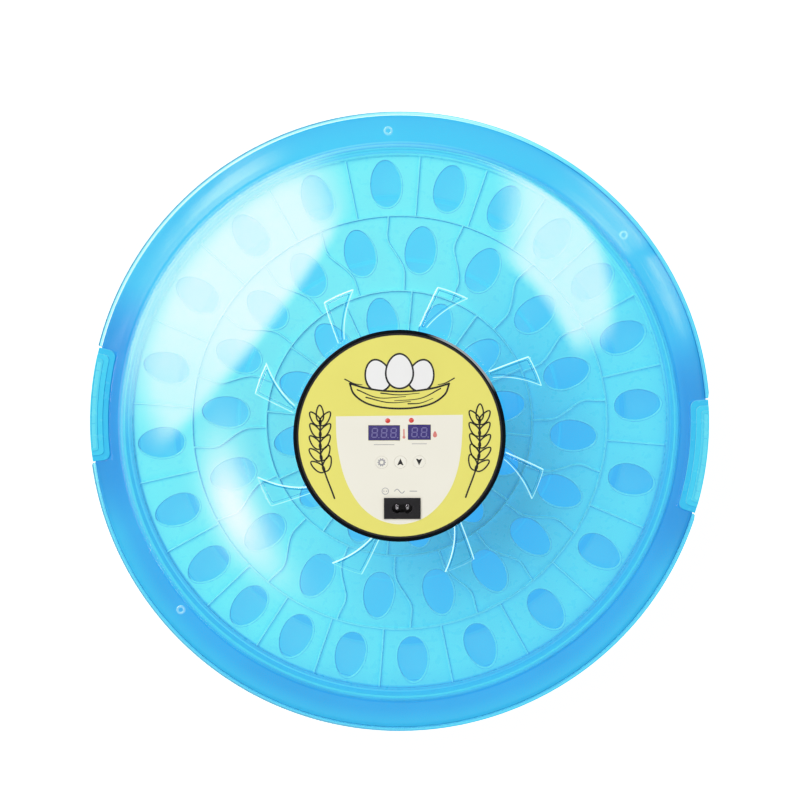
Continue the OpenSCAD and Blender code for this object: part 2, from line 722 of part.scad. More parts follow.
base_tub();
rubber_feet();
grip_left();
grip_right();
lid_seal();
egg_tray();
dome_lid();
housing_gasket();
control_housing();
housing_screws();
panel_plate();
panel_screws();
panel_label();
temperature_window();
humidity_window();
temperature_display();
humidity_display();
heating_led();
humidity_led();
settings_button();
up_button();
down_button();
tact_switches();
control_board();
control_board_screws();
microcontroller();
buzzer();
power_board();
power_board_screws();
transformer();
relay();
capacitors();
power_inlet();
inlet_pins();
mains_leads();
fan_frame();
fan_stator();
fan_bush();
fan_rotor();
fan_screws();
fan_lead();
heater_ring();
heater_clips();
heater_leads();
thermal_cutout();
heater_guard();
guard_screws();
sensor_probe();
sensor_lead();
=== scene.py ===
"""Round egg incubator: a blue tub holding a cyan egg tray, a clear domed lid and, on top of
the lid, a black control housing with a printed panel.

It stands on the floor around the Z axis. +X is the right, +Y the back, and the camera looks
down from above. Meshes are written in millimetres, and angles are degrees counterclockwise
from +X. Materials, lights and the camera are in metres.
"""
import bpy
import math
from functools import cached_property, reduce
import numpy as np
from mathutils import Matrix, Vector
from mathutils.geometry import tessellate_polygon


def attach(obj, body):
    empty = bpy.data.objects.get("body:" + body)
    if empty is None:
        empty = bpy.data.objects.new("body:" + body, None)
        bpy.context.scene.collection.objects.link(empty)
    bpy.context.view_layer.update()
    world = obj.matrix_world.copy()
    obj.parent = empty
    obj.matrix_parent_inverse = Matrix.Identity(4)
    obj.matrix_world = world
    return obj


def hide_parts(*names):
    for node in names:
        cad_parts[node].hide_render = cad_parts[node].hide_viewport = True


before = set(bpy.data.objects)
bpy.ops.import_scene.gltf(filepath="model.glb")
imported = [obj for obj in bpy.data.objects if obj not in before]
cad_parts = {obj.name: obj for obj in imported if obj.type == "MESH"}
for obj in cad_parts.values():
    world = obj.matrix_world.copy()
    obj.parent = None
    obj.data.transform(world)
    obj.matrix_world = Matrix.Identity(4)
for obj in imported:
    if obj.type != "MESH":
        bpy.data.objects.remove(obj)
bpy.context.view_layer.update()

MM = 0.001
GRIPS = (176.2, -6.0)       # angles of the left and right grips
sin, cos, pi, rad = math.sin, math.cos, math.pi, math.radians


# ---------------------------------------------------------------- plane geometry
def arc_angle(length, radius):
    return math.degrees(length / radius)


def polar(radius, angle):
    return (radius * cos(rad(angle)), radius * sin(rad(angle)))


def turned(x, y, angle, centre=(0, 0)):
    c, s = cos(rad(angle)), sin(rad(angle))
    return (centre[0] + c * x - s * y, centre[1] + s * x + c * y)


def angle_between(a, b):
    return abs((a - b + 180) % 360 - 180)


def smoothstep(x):
    x = np.clip(x, 0.0, 1.0)
    return x * x * (3 - 2 * x)


def area(loop):
    """Signed area, positive when the loop runs counterclockwise."""
    after = [*loop[1:], loop[0]]
    return 0.5 * sum(p[0] * q[1] - q[0] * p[1] for p, q in zip(loop, after))


def rounded(points, steps=4):
    """Closed outline from (x, y, corner radius) points."""
    out = []
    for i, (x, y, radius) in enumerate(points):
        corner = np.array((x, y), float)
        if radius <= 0:
            out.append(tuple(corner))
            continue
        before = np.array(points[i - 1][:2], float) - corner
        after = np.array(points[(i + 1) % len(points)][:2], float) - corner
        before_len, after_len = np.linalg.norm(before), np.linalg.norm(after)
        before, after = before / before_len, after / after_len
        angle = math.acos(max(-1, min(1, float(before @ after))))
        if angle > 3.10:        # almost straight
            out.append(tuple(corner))
            continue
        cut = min(radius / math.tan(angle / 2), 0.47 * before_len, 0.47 * after_len)
        start, end = corner + before * cut, corner + after * cut
        for k in range(steps + 1):
            u = k / steps
            out.append(tuple((1 - u) ** 2 * start + 2 * u * (1 - u) * corner + u * u * end))
    return out


def rectangle(centre, width, height, corner=0.3):
    x, y = centre
    w, h = width / 2, height / 2
    return rounded([(x - w, y - h, corner), (x + w, y - h, corner),
                    (x + w, y + h, corner), (x - w, y + h, corner)], 3)


def circle(radius, n, centre=(0, 0)):
    return [(centre[0] + radius * cos(2 * pi * i / n), centre[1] + radius * sin(2 * pi * i / n))
            for i in range(n)]


def egg(centre, half_width, half_height, turn=0.0, n=48, point=0.12):
    """Egg outline, more pointed at its top end as point grows."""
    out = []
    for i in range(n):
        t = 2 * pi * i / n
        x = half_width * sin(t) * (1 - point * cos(t))
        out.append(turned(x, half_height * cos(t), turn, centre))
    return out


def smooth_path(points, n):
    """Catmull-Rom curve through the points, n steps to a span."""
    p = [np.array(q, float) for q in points]
    out = []
    for i in range(len(p) - 1):
        p1, p2 = p[i], p[i + 1]
        p0 = p[i - 1] if i > 0 else p1 * 2 - p2
        p3 = p[i + 2] if i + 2 < len(p) else p2 * 2 - p1
        for k in range(n):
            t = k / n
            out.append(0.5 * ((2 * p1) + (-p0 + p2) * t + (2 * p0 - 5 * p1 + 4 * p2 - p3) * t * t
                              + (-p0 + 3 * p1 - 3 * p2 + p3) * t ** 3))
    return [tuple(q) for q in out + [p[-1]]]


# ---------------------------------------------------------------- shells: (vertices, faces)
def grid_faces(rows, width, start=0, closed=True):
    """Quads between rows of width points; each row is a loop, and closed joins last to first."""
    faces = []
    for i in range(rows if closed else rows - 1):
        a, b = start + i * width, start + (i + 1) % rows * width
        for k in range(width):
            j = (k + 1) % width
            faces.append((a + k, b + k, b + j, a + j))
    return faces


def lathe(profile, angles, move=None):
    """Turns a closed (r, z) outline about Z. angles is a count or a list of angles, and
    move(r, z, angle) may shift a point."""
    if isinstance(angles, int):
        angles = [360 * i / angles for i in range(angles)]
    vertices = []
    for a in angles:
        for r, z in profile:
            if move:
                r, z = move(r, z, a)
            vertices.append((*polar(r, a), z))
    return vertices, grid_faces(len(angles), len(profile))


def left_normals(edges):
    n = np.stack([-edges[:, 1], edges[:, 0]], 1)
    return n / (np.linalg.norm(n, axis=1)[:, None] + 1e-12)


def slab(loops, z0, z1, edge=0.0, bottom=True):
    """Plate between z0 and z1. loops[0] is its outline and the others are holes. edge rounds
    the top edge, and the bottom edge too if bottom is set."""
    levels = [(0, z1), (0, z0)]     # inset, z
    if edge > 0:
        quarter = [pi / 2 * k / 3 for k in range(4)]
        levels = [(edge * (1 - sin(q)), z1 - edge + edge * cos(q)) for q in quarter]
        if bottom:
            levels += [(edge * (1 - cos(q)), z0 + edge - edge * sin(q)) for q in quarter]
        else:
            levels.append((0, z0))
    v, f, starts = [], [], []
    for i, loop in enumerate(loops):
        if (area(loop) > 0) != (i == 0):
            loop = loop[::-1]
        p = np.array(loop, float)
        n0 = left_normals(p - np.roll(p, 1, 0))
        n1 = left_normals(np.roll(p, -1, 0) - p)
        mitre = n0 + n1
        mitre /= np.linalg.norm(mitre, axis=1)[:, None] + 1e-12
        mitre /= np.maximum(0.5, (mitre * n1).sum(1))[:, None]
        start = len(v)
        for inset, z in levels:
            v += [(x, y, z) for x, y in p + mitre * inset]
        f += grid_faces(len(levels), len(p), start, closed=False)
        starts.append((start, len(p)))
    for top in (True, False):
        polygons, index = [], []
        for start, m in starts:
            base = start if top else start + (len(levels) - 1) * m
            polygons.append([Vector((v[base + i][0], v[base + i][1], 0)) for i in range(m)])
            index += list(range(base, base + m))
        for triangle in tessellate_polygon(polygons):
            a, b, c = (index[i] for i in triangle)
            A, B, C = v[a], v[b], v[c]
            up = (B[0] - A[0]) * (C[1] - A[1]) - (B[1] - A[1]) * (C[0] - A[0]) > 0
            f.append((a, b, c) if up == top else (a, c, b))
    return v, f


def path_directions(p, closed):
    d = np.roll(p, -1, 0) - np.roll(p, 1, 0) if closed else np.gradient(p, axis=0)
    d /= np.linalg.norm(d, axis=1)[:, None] + 1e-12
    return d, np.stack([-d[:, 1], d[:, 0]], 1)


def sweep(path, section, closed=False):
    """Section of (offset to the left, z) points carried along a plan path."""
    p = np.array(path, float)
    normals = path_directions(p, closed)[1]
    m, n = len(section), len(p)
    v = [(q[0] + s[0] * o, q[1] + s[1] * o, z) for q, s in zip(p, normals) for o, z in section]
    f = [(a, d, c, b) for a, b, c, d in grid_faces(n, m, closed=closed)]
    if not closed:
        f.append(tuple(range(m)))
        f.append(tuple((n - 1) * m + k for k in range(m - 1, -1, -1)))
    return v, f


def round_end(end, direction, radius):
    a = math.atan2(direction[1], direction[0])
    angles = [a + pi / 2 - pi * i / 6 for i in range(1, 6)]
    return [end + radius * np.array([cos(t), sin(t)]) for t in angles]


def stroke(path, width, levels, closed=False, taper=0.0):
    """A printed line between two levels, with round ends unless it is closed."""
    p = np.array(path, float)
    d, normals = path_directions(p, closed)
    if closed:
        sides = [p + normals * width / 2, p - normals * width / 2]
        return slab(sorted(sides, key=lambda s: abs(area(s)), reverse=True), *levels)
    half = (width / 2 * (1 - taper * np.linspace(0, 1, len(p))))[:, None]
    left, right = p + normals * half, p - normals * half
    last = round_end(p[-1], d[-1], half[-1][0])
    first = round_end(p[0], -d[0], half[0][0])
    return slab([[tuple(q) for q in [*left, *last, *right[::-1], *first]]], *levels)


class Mesh:
    """Gathers several closed shells into one mesh."""
    def __init__(self):
        self.vertices, self.faces = [], []

    def add(self, shell, at=(0, 0)):
        start = len(self.vertices)
        self.vertices += [(x + at[0], y + at[1], z) for x, y, z in shell[0]]
        self.faces += [tuple(i + start for i in face) for face in shell[1]]
        return self

    def build(self, name, material, body, slot, sharp, weighted=False, replaces=False):
        """Makes the object; edges bent by more than the sharp angle stay sharp."""
        me = bpy.data.meshes.new(name)
        me.from_pydata([(x * MM, y * MM, z * MM) for x, y, z in self.vertices], [], self.faces)
        me.validate()
        me.update()
        o = bpy.data.objects.new(name, me)
        bpy.context.scene.collection.objects.link(o)
        me.polygons.foreach_set("use_smooth", [True] * len(me.polygons))
        me.set_sharp_from_angle(angle=rad(sharp))
        me.materials.append(material)
        if weighted:
            modifier = o.modifiers.new("wn", "WEIGHTED_NORMAL")
            modifier.keep_sharp = True
            modifier.weight = 100
        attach(o, body)
        if replaces:
            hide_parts(slot)


# ---------------------------------------------------------------- node trees
class Tree:
    """Node tree of a new material or world. Inputs take a number, a tuple or a socket."""
    def __init__(self, name, kind="materials"):
        self.owner = getattr(bpy.data, kind).new(name)
        self.owner.use_nodes = True
        self.tree = self.owner.node_tree
        self.tree.nodes.clear()

    def put(self, socket, value):
        if value is None:
            return
        if isinstance(value, (int, float)):
            socket.default_value = value
        elif isinstance(value, tuple):
            missing = len(socket.default_value) - len(value)
            socket.default_value = value + (1.0,) * missing
        else:
            self.tree.links.new(value, socket)

    def node(self, kind, inputs=None, **settings):
        node = self.tree.nodes.new("ShaderNode" + kind)
        for key, value in settings.items():
            setattr(node, key, value)
        for key, value in (inputs or {}).items():
            self.put(node.inputs[key], value)
        return node

    def math(self, operation, *values, clamp=False):
        return self.node("Math", dict(enumerate(values)), operation=operation,
                         use_clamp=clamp).outputs[0]

    def add(self, *values):
        return reduce(lambda a, b: self.math("ADD", a, b), values)

    def mul(self, *values):
        return reduce(lambda a, b: self.math("MULTIPLY", a, b), values)

    def sub(self, a, b):
        return self.math("SUBTRACT", a, b)

    def div(self, a, b):
        return self.math("DIVIDE", a, b)

    def weighted(self, operation, a, a_weight, b, b_weight):
        return self.math(operation, self.mul(a, a_weight), self.mul(b, b_weight))

    def length(self, x, y):
        return self.math("SQRT", self.add(self.mul(x, x), self.mul(y, y)))

    def bearing(self, x, y):
        return self.math("DEGREES", self.math("ARCTAN2", y, x))

    def dot(self, a, b):
        return self.node("VectorMath", {0: a, 1: b}, operation="DOT_PRODUCT").outputs["Value"]

    def axes(self, vector):
        return tuple(self.node("SeparateXYZ", {0: vector}).outputs)

    def ramp(self, x, start, end, to=(0.0, 1.0)):
        """Smooth step that moves between the two values of to as x goes from start to end."""
        inputs = {"Value": x, "From Min": start, "From Max": end, "To Min": to[0], "To Max": to[1]}
        return self.node("MapRange", inputs, interpolation_type="SMOOTHSTEP").outputs["Result"]

    def fall(self, x, start, end):
        return self.ramp(x, start, end, to=(1, 0))

    def mix(self, share, a, b):
        """Colour a, turning into b as share goes to 1."""
        return self.node("Mix", {"Factor": share, 6: a, 7: b}, data_type="RGBA").outputs[2]

    def switch(self, share, a, b):
        return self.node("Mix", {"Factor": share, 2: a, 3: b}, data_type="FLOAT").outputs[0]

    def noise(self, scale, detail, rough=0.5, coord=None):
        coord = coord or self.node("TexCoord").outputs["Object"]
        return self.node("TexNoise", {"Scale": scale, "Detail": detail, "Roughness": rough,
                                      "Vector": coord}).outputs["Fac"]

    def bump(self, height, strength, distance, normal=None):
        return self.node("Bump", {"Strength": strength, "Distance": distance, "Height": height,
                                  "Normal": normal}).outputs["Normal"]

    def bevel(self, radius_mm):
        return self.node("Bevel", {"Radius": radius_mm * MM}, samples=4).outputs["Normal"]

    def mottled(self, colour, variation):
        patches = self.ramp(self.noise(9, 4), 0.3, 0.7)
        dark, light = scaled(colour, 1 - variation), scaled(colour, 1 + variation * 0.5)
        return self.mix(patches, dark, light)

    def uneven(self, rough):
        """Roughness with a fine variation."""
        return self.ramp(self.noise(160, 3), 0.25, 0.75, to=(rough * 0.82, rough * 1.22))

    def grained(self, grain, normal=None):
        return self.bump(self.noise(1400, 2), grain, 0.0004, normal)

    def mix_shaders(self, share, a, b):
        return self.node("MixShader", {0: share, 1: a, 2: b}).outputs[0]

    def backlit(self, shader, colour, share):
        glow = self.node("BsdfTranslucent", {"Color": colour}).outputs[0]
        return self.mix_shaders(share, shader, glow)

    def principled(self, inputs):
        return self.node("BsdfPrincipled", inputs).outputs[0]

    def finish(self, shader, output="OutputMaterial"):
        self.node(output, {"Surface": shader})
        return self.owner

    # nodes that one tree shares
    @cached_property
    def geometry(self):
        return self.node("NewGeometry")

    @cached_property
    def position(self):
        return self.axes(self.node("TexCoord").outputs["Object"])

    @cached_property
    def radius(self):
        return self.length(*self.position[:2])

    @cached_property
    def normal(self):
        return self.axes(self.geometry.outputs["Normal"])


def scaled(colour, k):
    return tuple(min(1.0, x * k) for x in colour)


def srgb(*colour):
    """Linear colour from 0-255 sRGB values."""
    return tuple(c / 12.92 if c <= 0.04045 else ((c + 0.055) / 1.055) ** 2.4
                 for c in (x / 255 for x in colour))


# ---------------------------------------------------------------- kinds of material
def plastic(name, colour, rough, variation, grain, bevel=0.0, translucent=0.0, glow=0.0,
            coat=None, spec=0.5, glint=None):
    """colour is a colour or a function of the tree; glint(tree) is the strength of a highlight;
    bevel is in mm."""
    t = Tree(name)
    body = colour(t) if callable(colour) else t.mottled(colour, variation)
    normal = t.bevel(bevel) if bevel else None
    if grain:
        normal = t.grained(grain, normal)
    inputs = {"Base Color": body, "Roughness": t.uneven(rough), "Specular IOR Level": spec,
              "Normal": normal}
    if coat:
        inputs.update({"Coat Weight": coat, "Coat Roughness": 0.06})
    if glint:
        inputs.update({"Emission Color": (0.80, 0.86, 0.88), "Emission Strength": glint(t)})
    if glow:
        inputs.update({"Emission Color": body, "Emission Strength": glow})
    shader = t.principled(inputs)
    return t.finish(t.backlit(shader, body, translucent) if translucent else shader)


def metal(name, colour, rough, brushed):
    t = Tree(name)
    coord = None
    if brushed:
        coord = t.node("TexCoord").outputs["Object"]
        coord = t.node("Mapping", {"Vector": coord, "Scale": (1, 1, 40)}).outputs[0]
    wear = t.noise(220, 4, rough=0.6, coord=coord)
    return t.finish(t.principled({
        "Metallic": 1,
        "Base Color": t.mix(wear, scaled(colour, 0.82), scaled(colour, 1.08)),
        "Roughness": t.ramp(wear, 0.3, 0.7, to=(rough * 0.7, rough * 1.3)),
        "Normal": t.bump(wear, strength=0.05, distance=0.0002, normal=t.bevel(0.15))}))


def lid_zones(t, body, glow, lit, steep):
    """Duct walls and outer edge of the lid. Gives the body colour, with painted shade on the
    far skin of the duct walls and on the left of the outer edge, and a rim tint painted paler
    towards the back left; the glow, painted highlights on lit slopes and on the near skin of the
    ducts; how calm the reflections are; and a thin painted highlight line on the edge."""
    x, y, z = t.position
    r = t.radius
    back = t.geometry.outputs["Backfacing"]
    front = t.sub(1.0, back)
    duct = t.fall(r, 0.1250, 0.1265)
    skin_top = t.ramp(z, 0.0793, 0.0799)
    back_left = t.ramp(t.div(t.weighted("ADD", x, -0.62, y, 0.78), r), 0.25, 0.80)
    rim_r = t.add(r, t.mul(t.sub(1.0, back_left), 0.0011))      # narrower away from back left
    rim = t.mul(t.ramp(rim_r, 0.2664, 0.2671), skin_top)
    # painted shade and light: the far skin of a duct wall is painted dark, the near skin light
    body = t.mix(t.mul(duct, back, steep), body, (0.20, 0.50, 0.66))
    # painted shade: a dark line on the left part of the outer edge
    left = t.mul(t.fall(t.div(x, r), -0.30, 0.25),
                 t.mul(t.ramp(r, 0.2679, 0.2684), skin_top))
    # band of the painted highlight line on the edge
    thin = t.mul(t.ramp(r, 0.2664, 0.2669), t.fall(r, 0.2677, 0.2682))
    # the thick rim's tint, painted paler towards the back left as painted light
    rim_tint_and_painted_light = t.mix(back_left, (0.105, 0.46, 0.64), (0.36, 0.81, 0.90))
    body = t.mix(rim, body, rim_tint_and_painted_light)
    body = t.mix(left, body, (0.12, 0.34, 0.42))
    # painted highlight: the near skin of a duct wall glows, more where it faces the key light
    shine = t.mul(front, t.add(t.mul(lit, 0.25), 0.80))
    glow = t.add(t.mul(glow, t.sub(1.0, duct)), t.mul(shine, duct))
    glow = t.mul(glow, t.ramp(r, 0.0886, 0.0900))
    # the outer edge is calm except where the large box catches it
    edge = t.mul(t.ramp(r, 0.2655, 0.2668), t.sub(1.0, back_left))
    calm = t.sub(1.0, t.mul(t.math("MAXIMUM", edge, left), 0.78))
    # painted highlight: a faint line of emission on the edge towards the back left
    line = t.mul(thin, back_left, t.mul(front, 0.10))
    return body, t.mul(glow, calm), calm, line


def clear(name, tint, deep, rough, power, boost=1.0, glint=0.45, base=0.0, always=0.0,
          lid=False):
    """A clear moulding: gloss over a body that turns from tint to deep where it is seen edge
    on (power), with painted highlights on its slopes. boost raises the reflections, glint the
    painted glow of lit slopes, base the painted glow of all slopes, and always is the least
    share of glow seen face on."""
    t = Tree(name)
    facing = t.node("LayerWeight", {"Blend": 0.5}).outputs["Facing"]
    seen = t.sub(1.0, t.node("LightPath").outputs["Is Shadow Ray"])
    steep = t.ramp(facing, 0.30, 0.80)
    body = t.mix(t.math("POWER", facing, power), tint, deep)
    # painted highlight: slopes that face the key light glow by emission
    towards_light = t.dot(t.geometry.outputs["Normal"], (-0.62, 0.66, 0.42))
    lit = t.ramp(towards_light, 0.25, 0.95)
    glow = t.add(t.mul(lit, glint), base)
    # painted reflection: steep slopes reflect a pale blue tint
    flatness = t.ramp(t.math("ABSOLUTE", t.normal[2]), 0.38, 0.66)
    sheen = t.mix(flatness, (0.78, 0.93, 1.0), (1.0, 1.0, 1.0))
    fresnel = t.add(t.mul(t.math("POWER", facing, 5.0), 0.70), 0.042)
    if lid:
        body, glow, calm, line = lid_zones(t, body, glow, lit, steep)
        # reflections fade over the middle, under the housing
        fresnel = t.mul(fresnel, calm, t.ramp(t.radius, 0.0884, 0.0902, to=(0.15, 1.0)))
    strength = t.mul(glow, t.math("MAXIMUM", steep, always))
    if lid:
        strength = t.add(strength, line)
    through = t.node("BsdfTransparent", {"Color": t.mix(seen, (0.985, 0.995, 1.0), body)})
    gloss = t.node("BsdfGlossy", {
        "Roughness": t.ramp(t.noise(22, 3), 0.3, 0.7, to=(rough * 0.6, rough * 1.5)),
        "Color": sheen,
        "Normal": t.bump(t.noise(14, 2), strength=0.08, distance=0.0010)})
    share = t.mul(t.math("MULTIPLY", fresnel, boost, clamp=True), seen)
    surface = t.mix_shaders(share, through.outputs[0], gloss.outputs[0])
    light = t.node("Emission", {"Color": (0.72, 0.95, 1.0), "Strength": t.mul(strength, seen)})
    return t.finish(t.node("AddShader", {0: surface, 1: light.outputs[0]}).outputs[0])


def glowing(name, colour, field, rough, variation, strength, inner_radius, top, glow, keep):
    """Coloured see-through plastic with painted glow: emission stands in for the light it
    carries. Surfaces that face up, inside a radius and below top, shine as painted light with an
    inner colour and keep a share of their own, and glow is a painted glow over all of it.
    field(tree, colour) gives the body colour and the inner colour."""
    t = Tree(name)
    body, inner = field(t, t.mottled(colour, variation))
    # painted light: where the inner colour shines
    mask = t.mul(t.fall(t.radius, inner_radius - 0.003, inner_radius),
                 t.ramp(t.normal[2], 0.0, 0.30),
                 t.fall(t.position[2], top - 0.002, top + 0.001))
    shader = t.principled({
        "Base Color": t.mix(t.mul(mask, 1 - keep), body, (0.002, 0.02, 0.04)),
        "Roughness": t.uneven(rough),
        "Normal": t.grained(0.02),
        "Emission Color": t.mix(mask, body, inner),
        "Emission Strength": t.add(t.mul(mask, strength), glow)})
    return t.finish(t.backlit(shader, body, 0.18))


# ---------------------------------------------------------------- colour fields
def slope_light_and_shade(t, colour, steep, flat, pale, deep, share):
    """Painted light and shade on slopes (upward normal between steep and flat): they turn pale
    where they face the back left (painted light) and deep where they face the front right
    (painted shade)."""
    slope = t.fall(t.math("ABSOLUTE", t.normal[2]), steep, flat)
    facing = t.weighted("SUBTRACT", t.normal[0], 0.69, t.normal[1], 0.72)
    return t.mix(t.mul(slope, share), colour, t.mix(t.ramp(facing, -0.35, 0.35), pale, deep))


def housing_shadow_share(t, start, end):
    """Share of painted shadow round the housing, which grows towards the front right and the
    middle.
    """
    x, y, _ = t.position
    way = t.div(t.weighted("SUBTRACT", x, 0.90, y, 0.436), t.radius)
    return t.mul(t.ramp(way, start, end), t.ramp(t.radius, 0.085, 0.215, to=(0.82, 0.36)))


def tub_painted_light_field(t, colour):
    """Painted light and shade: paler towards the back (painted light) and towards the outer
    edge, darker beside the grips (painted shadow), a pale lip that turns dark on its outer part
    towards the back, and an inner colour deeper towards the front right and the middle
    (painted shadow of the housing)."""
    x, y, _ = t.position
    r = t.radius
    # painted light: paler towards the back
    back = t.ramp(y, -0.16, 0.22)
    colour = t.mix(back, colour, (0.066, 0.66, 1.0))
    edge_colour = t.mix(back, (0.056, 0.64, 0.95), (0.068, 0.62, 0.98))
    colour = t.mix(t.mul(t.ramp(r, 0.250, 0.2655), 0.85), colour, edge_colour)
    # painted shadow beside the grips
    beside = []
    for g in GRIPS:
        towards = t.div(t.weighted("ADD", x, cos(rad(g)), y, sin(rad(g))), r)
        beside.append(t.ramp(towards, 0.900, 0.985))
    beside = t.mul(t.math("MAXIMUM", *beside), t.ramp(r, 0.238, 0.250, to=(0.25, 0.95)))
    colour = t.mix(beside, colour, (0.026, 0.37, 0.80))
    lip = t.mul(t.ramp(r, 0.2362, 0.2376), t.fall(r, 0.2425, 0.2440))
    lip_front = t.mix(t.ramp(r, 0.2384, 0.2398), (0.13, 0.85, 1.0), (0.042, 0.52, 0.88))
    lip_colour = t.mix(back, (0.090, 0.78, 1.0), lip_front)
    # inner colour, shone as painted glow, with painted shadow of the housing towards the front
    # right
    inner = t.mix(housing_shadow_share(t, 0.10, 1.0), (0.110, 0.69, 0.98), (0.020, 0.42, 0.84))
    return t.mix(lip, colour, lip_colour), inner


def tray_painted_light_field(t, colour):
    """Painted light and shade: pale rib crests (painted highlight), paler towards the back left
    (painted light), deeper towards the front right and the middle (painted shadow of the
    housing), painted light and shade on slopes, and a rim paler at the back (painted light)
    and deeper at the front (painted shade).
    """
    x, y, z = t.position
    # painted highlight: pale rib crests
    colour = t.mix(t.ramp(z, 0.0709, 0.0718), colour, (0.26, 0.90, 1.0))
    # painted shadow of the housing
    colour = t.mix(housing_shadow_share(t, -0.45, 0.95), colour, (0.022, 0.52, 0.86))
    # painted light towards the back left
    back_left = t.div(t.weighted("SUBTRACT", y, 0.70, x, 0.714), t.radius)
    colour = t.mix(t.mul(t.ramp(back_left, -0.1, 0.9), 0.40), colour, (0.30, 0.95, 1.0))
    # painted light and shade on the slopes of the plate and the ribs
    plate = slope_light_and_shade(t, colour, steep=0.60, flat=0.992, pale=(0.21, 0.87, 1.0),
                   deep=(0.014, 0.28, 0.62), share=1.0)
    ribs = slope_light_and_shade(t, colour, steep=0.35, flat=0.95, pale=(0.24, 0.89, 1.0),
                  deep=(0.085, 0.66, 0.92), share=0.80)
    colour = t.mix(t.ramp(z, 0.0687, 0.0692), plate, ribs)
    # painted light and shade: the rim is paler at the back and deeper at the front
    rim = t.mix(t.ramp(y, -0.10, 0.18), (0.062, 0.54, 0.86), (0.20, 0.88, 1.0))
    return t.mix(t.ramp(t.radius, 0.2312, 0.2330), colour, rim), CYAN


def grip_painted_light_field(t):
    """Colour by height: deeper on the low steps, paler above them, palest between z 81.1 and
    81.9 mm and less pale on top, then painted light and shade on the slopes.
    """
    z = t.position[2]
    colour = t.mix(t.ramp(z, 0.0800, 0.0808), (0.050, 0.60, 0.93), (0.070, 0.69, 0.98))
    colour = t.mix(t.ramp(z, 0.08105, 0.08125), colour, (0.150, 0.80, 1.0))
    colour = t.mix(t.ramp(z, 0.0815, 0.0819), colour, (0.095, 0.72, 0.96))
    return slope_light_and_shade(t, colour, steep=0.45, flat=0.97, pale=(0.32, 0.93, 1.0),
                  deep=(0.030, 0.46, 0.80), share=0.85)


def rim_glint(t):
    """Highlight on the upper rim of the housing, towards the back right."""
    x, y, z = t.position
    a = t.bearing(x, y)
    place = t.mul(t.ramp(t.radius, 0.0838, 0.0843), t.ramp(z, 0.1925, 0.1938))
    return t.mul(t.ramp(a, 24, 34), t.fall(a, 64, 76), place, 0.42)


# ---------------------------------------------------------------- materials
BLUE = (0.045, 0.50, 0.90)
CYAN = (0.176, 0.85, 0.985)

# painted glow: the tub and the tray give off light of their own colour, the tub most on its upward
# faces inside the rim
tub_plastic = glowing("tub_blue_plastic", BLUE, tub_painted_light_field, rough=0.22, variation=0.05,
                      strength=0.80, inner_radius=0.2405, top=0.084, glow=0.08, keep=0.25)
tray_plastic = glowing("tray_cyan_plastic", CYAN, tray_painted_light_field, rough=0.30, variation=0.03,
                       strength=0.06, inner_radius=0.236, top=0.090, glow=0.125, keep=1.0)
lid_plastic = clear("lid_clear_plastic", tint=(0.982, 0.995, 1.0), deep=(0.60, 0.85, 0.96),
                    rough=0.03, power=2.4, glint=0.16, lid=True)

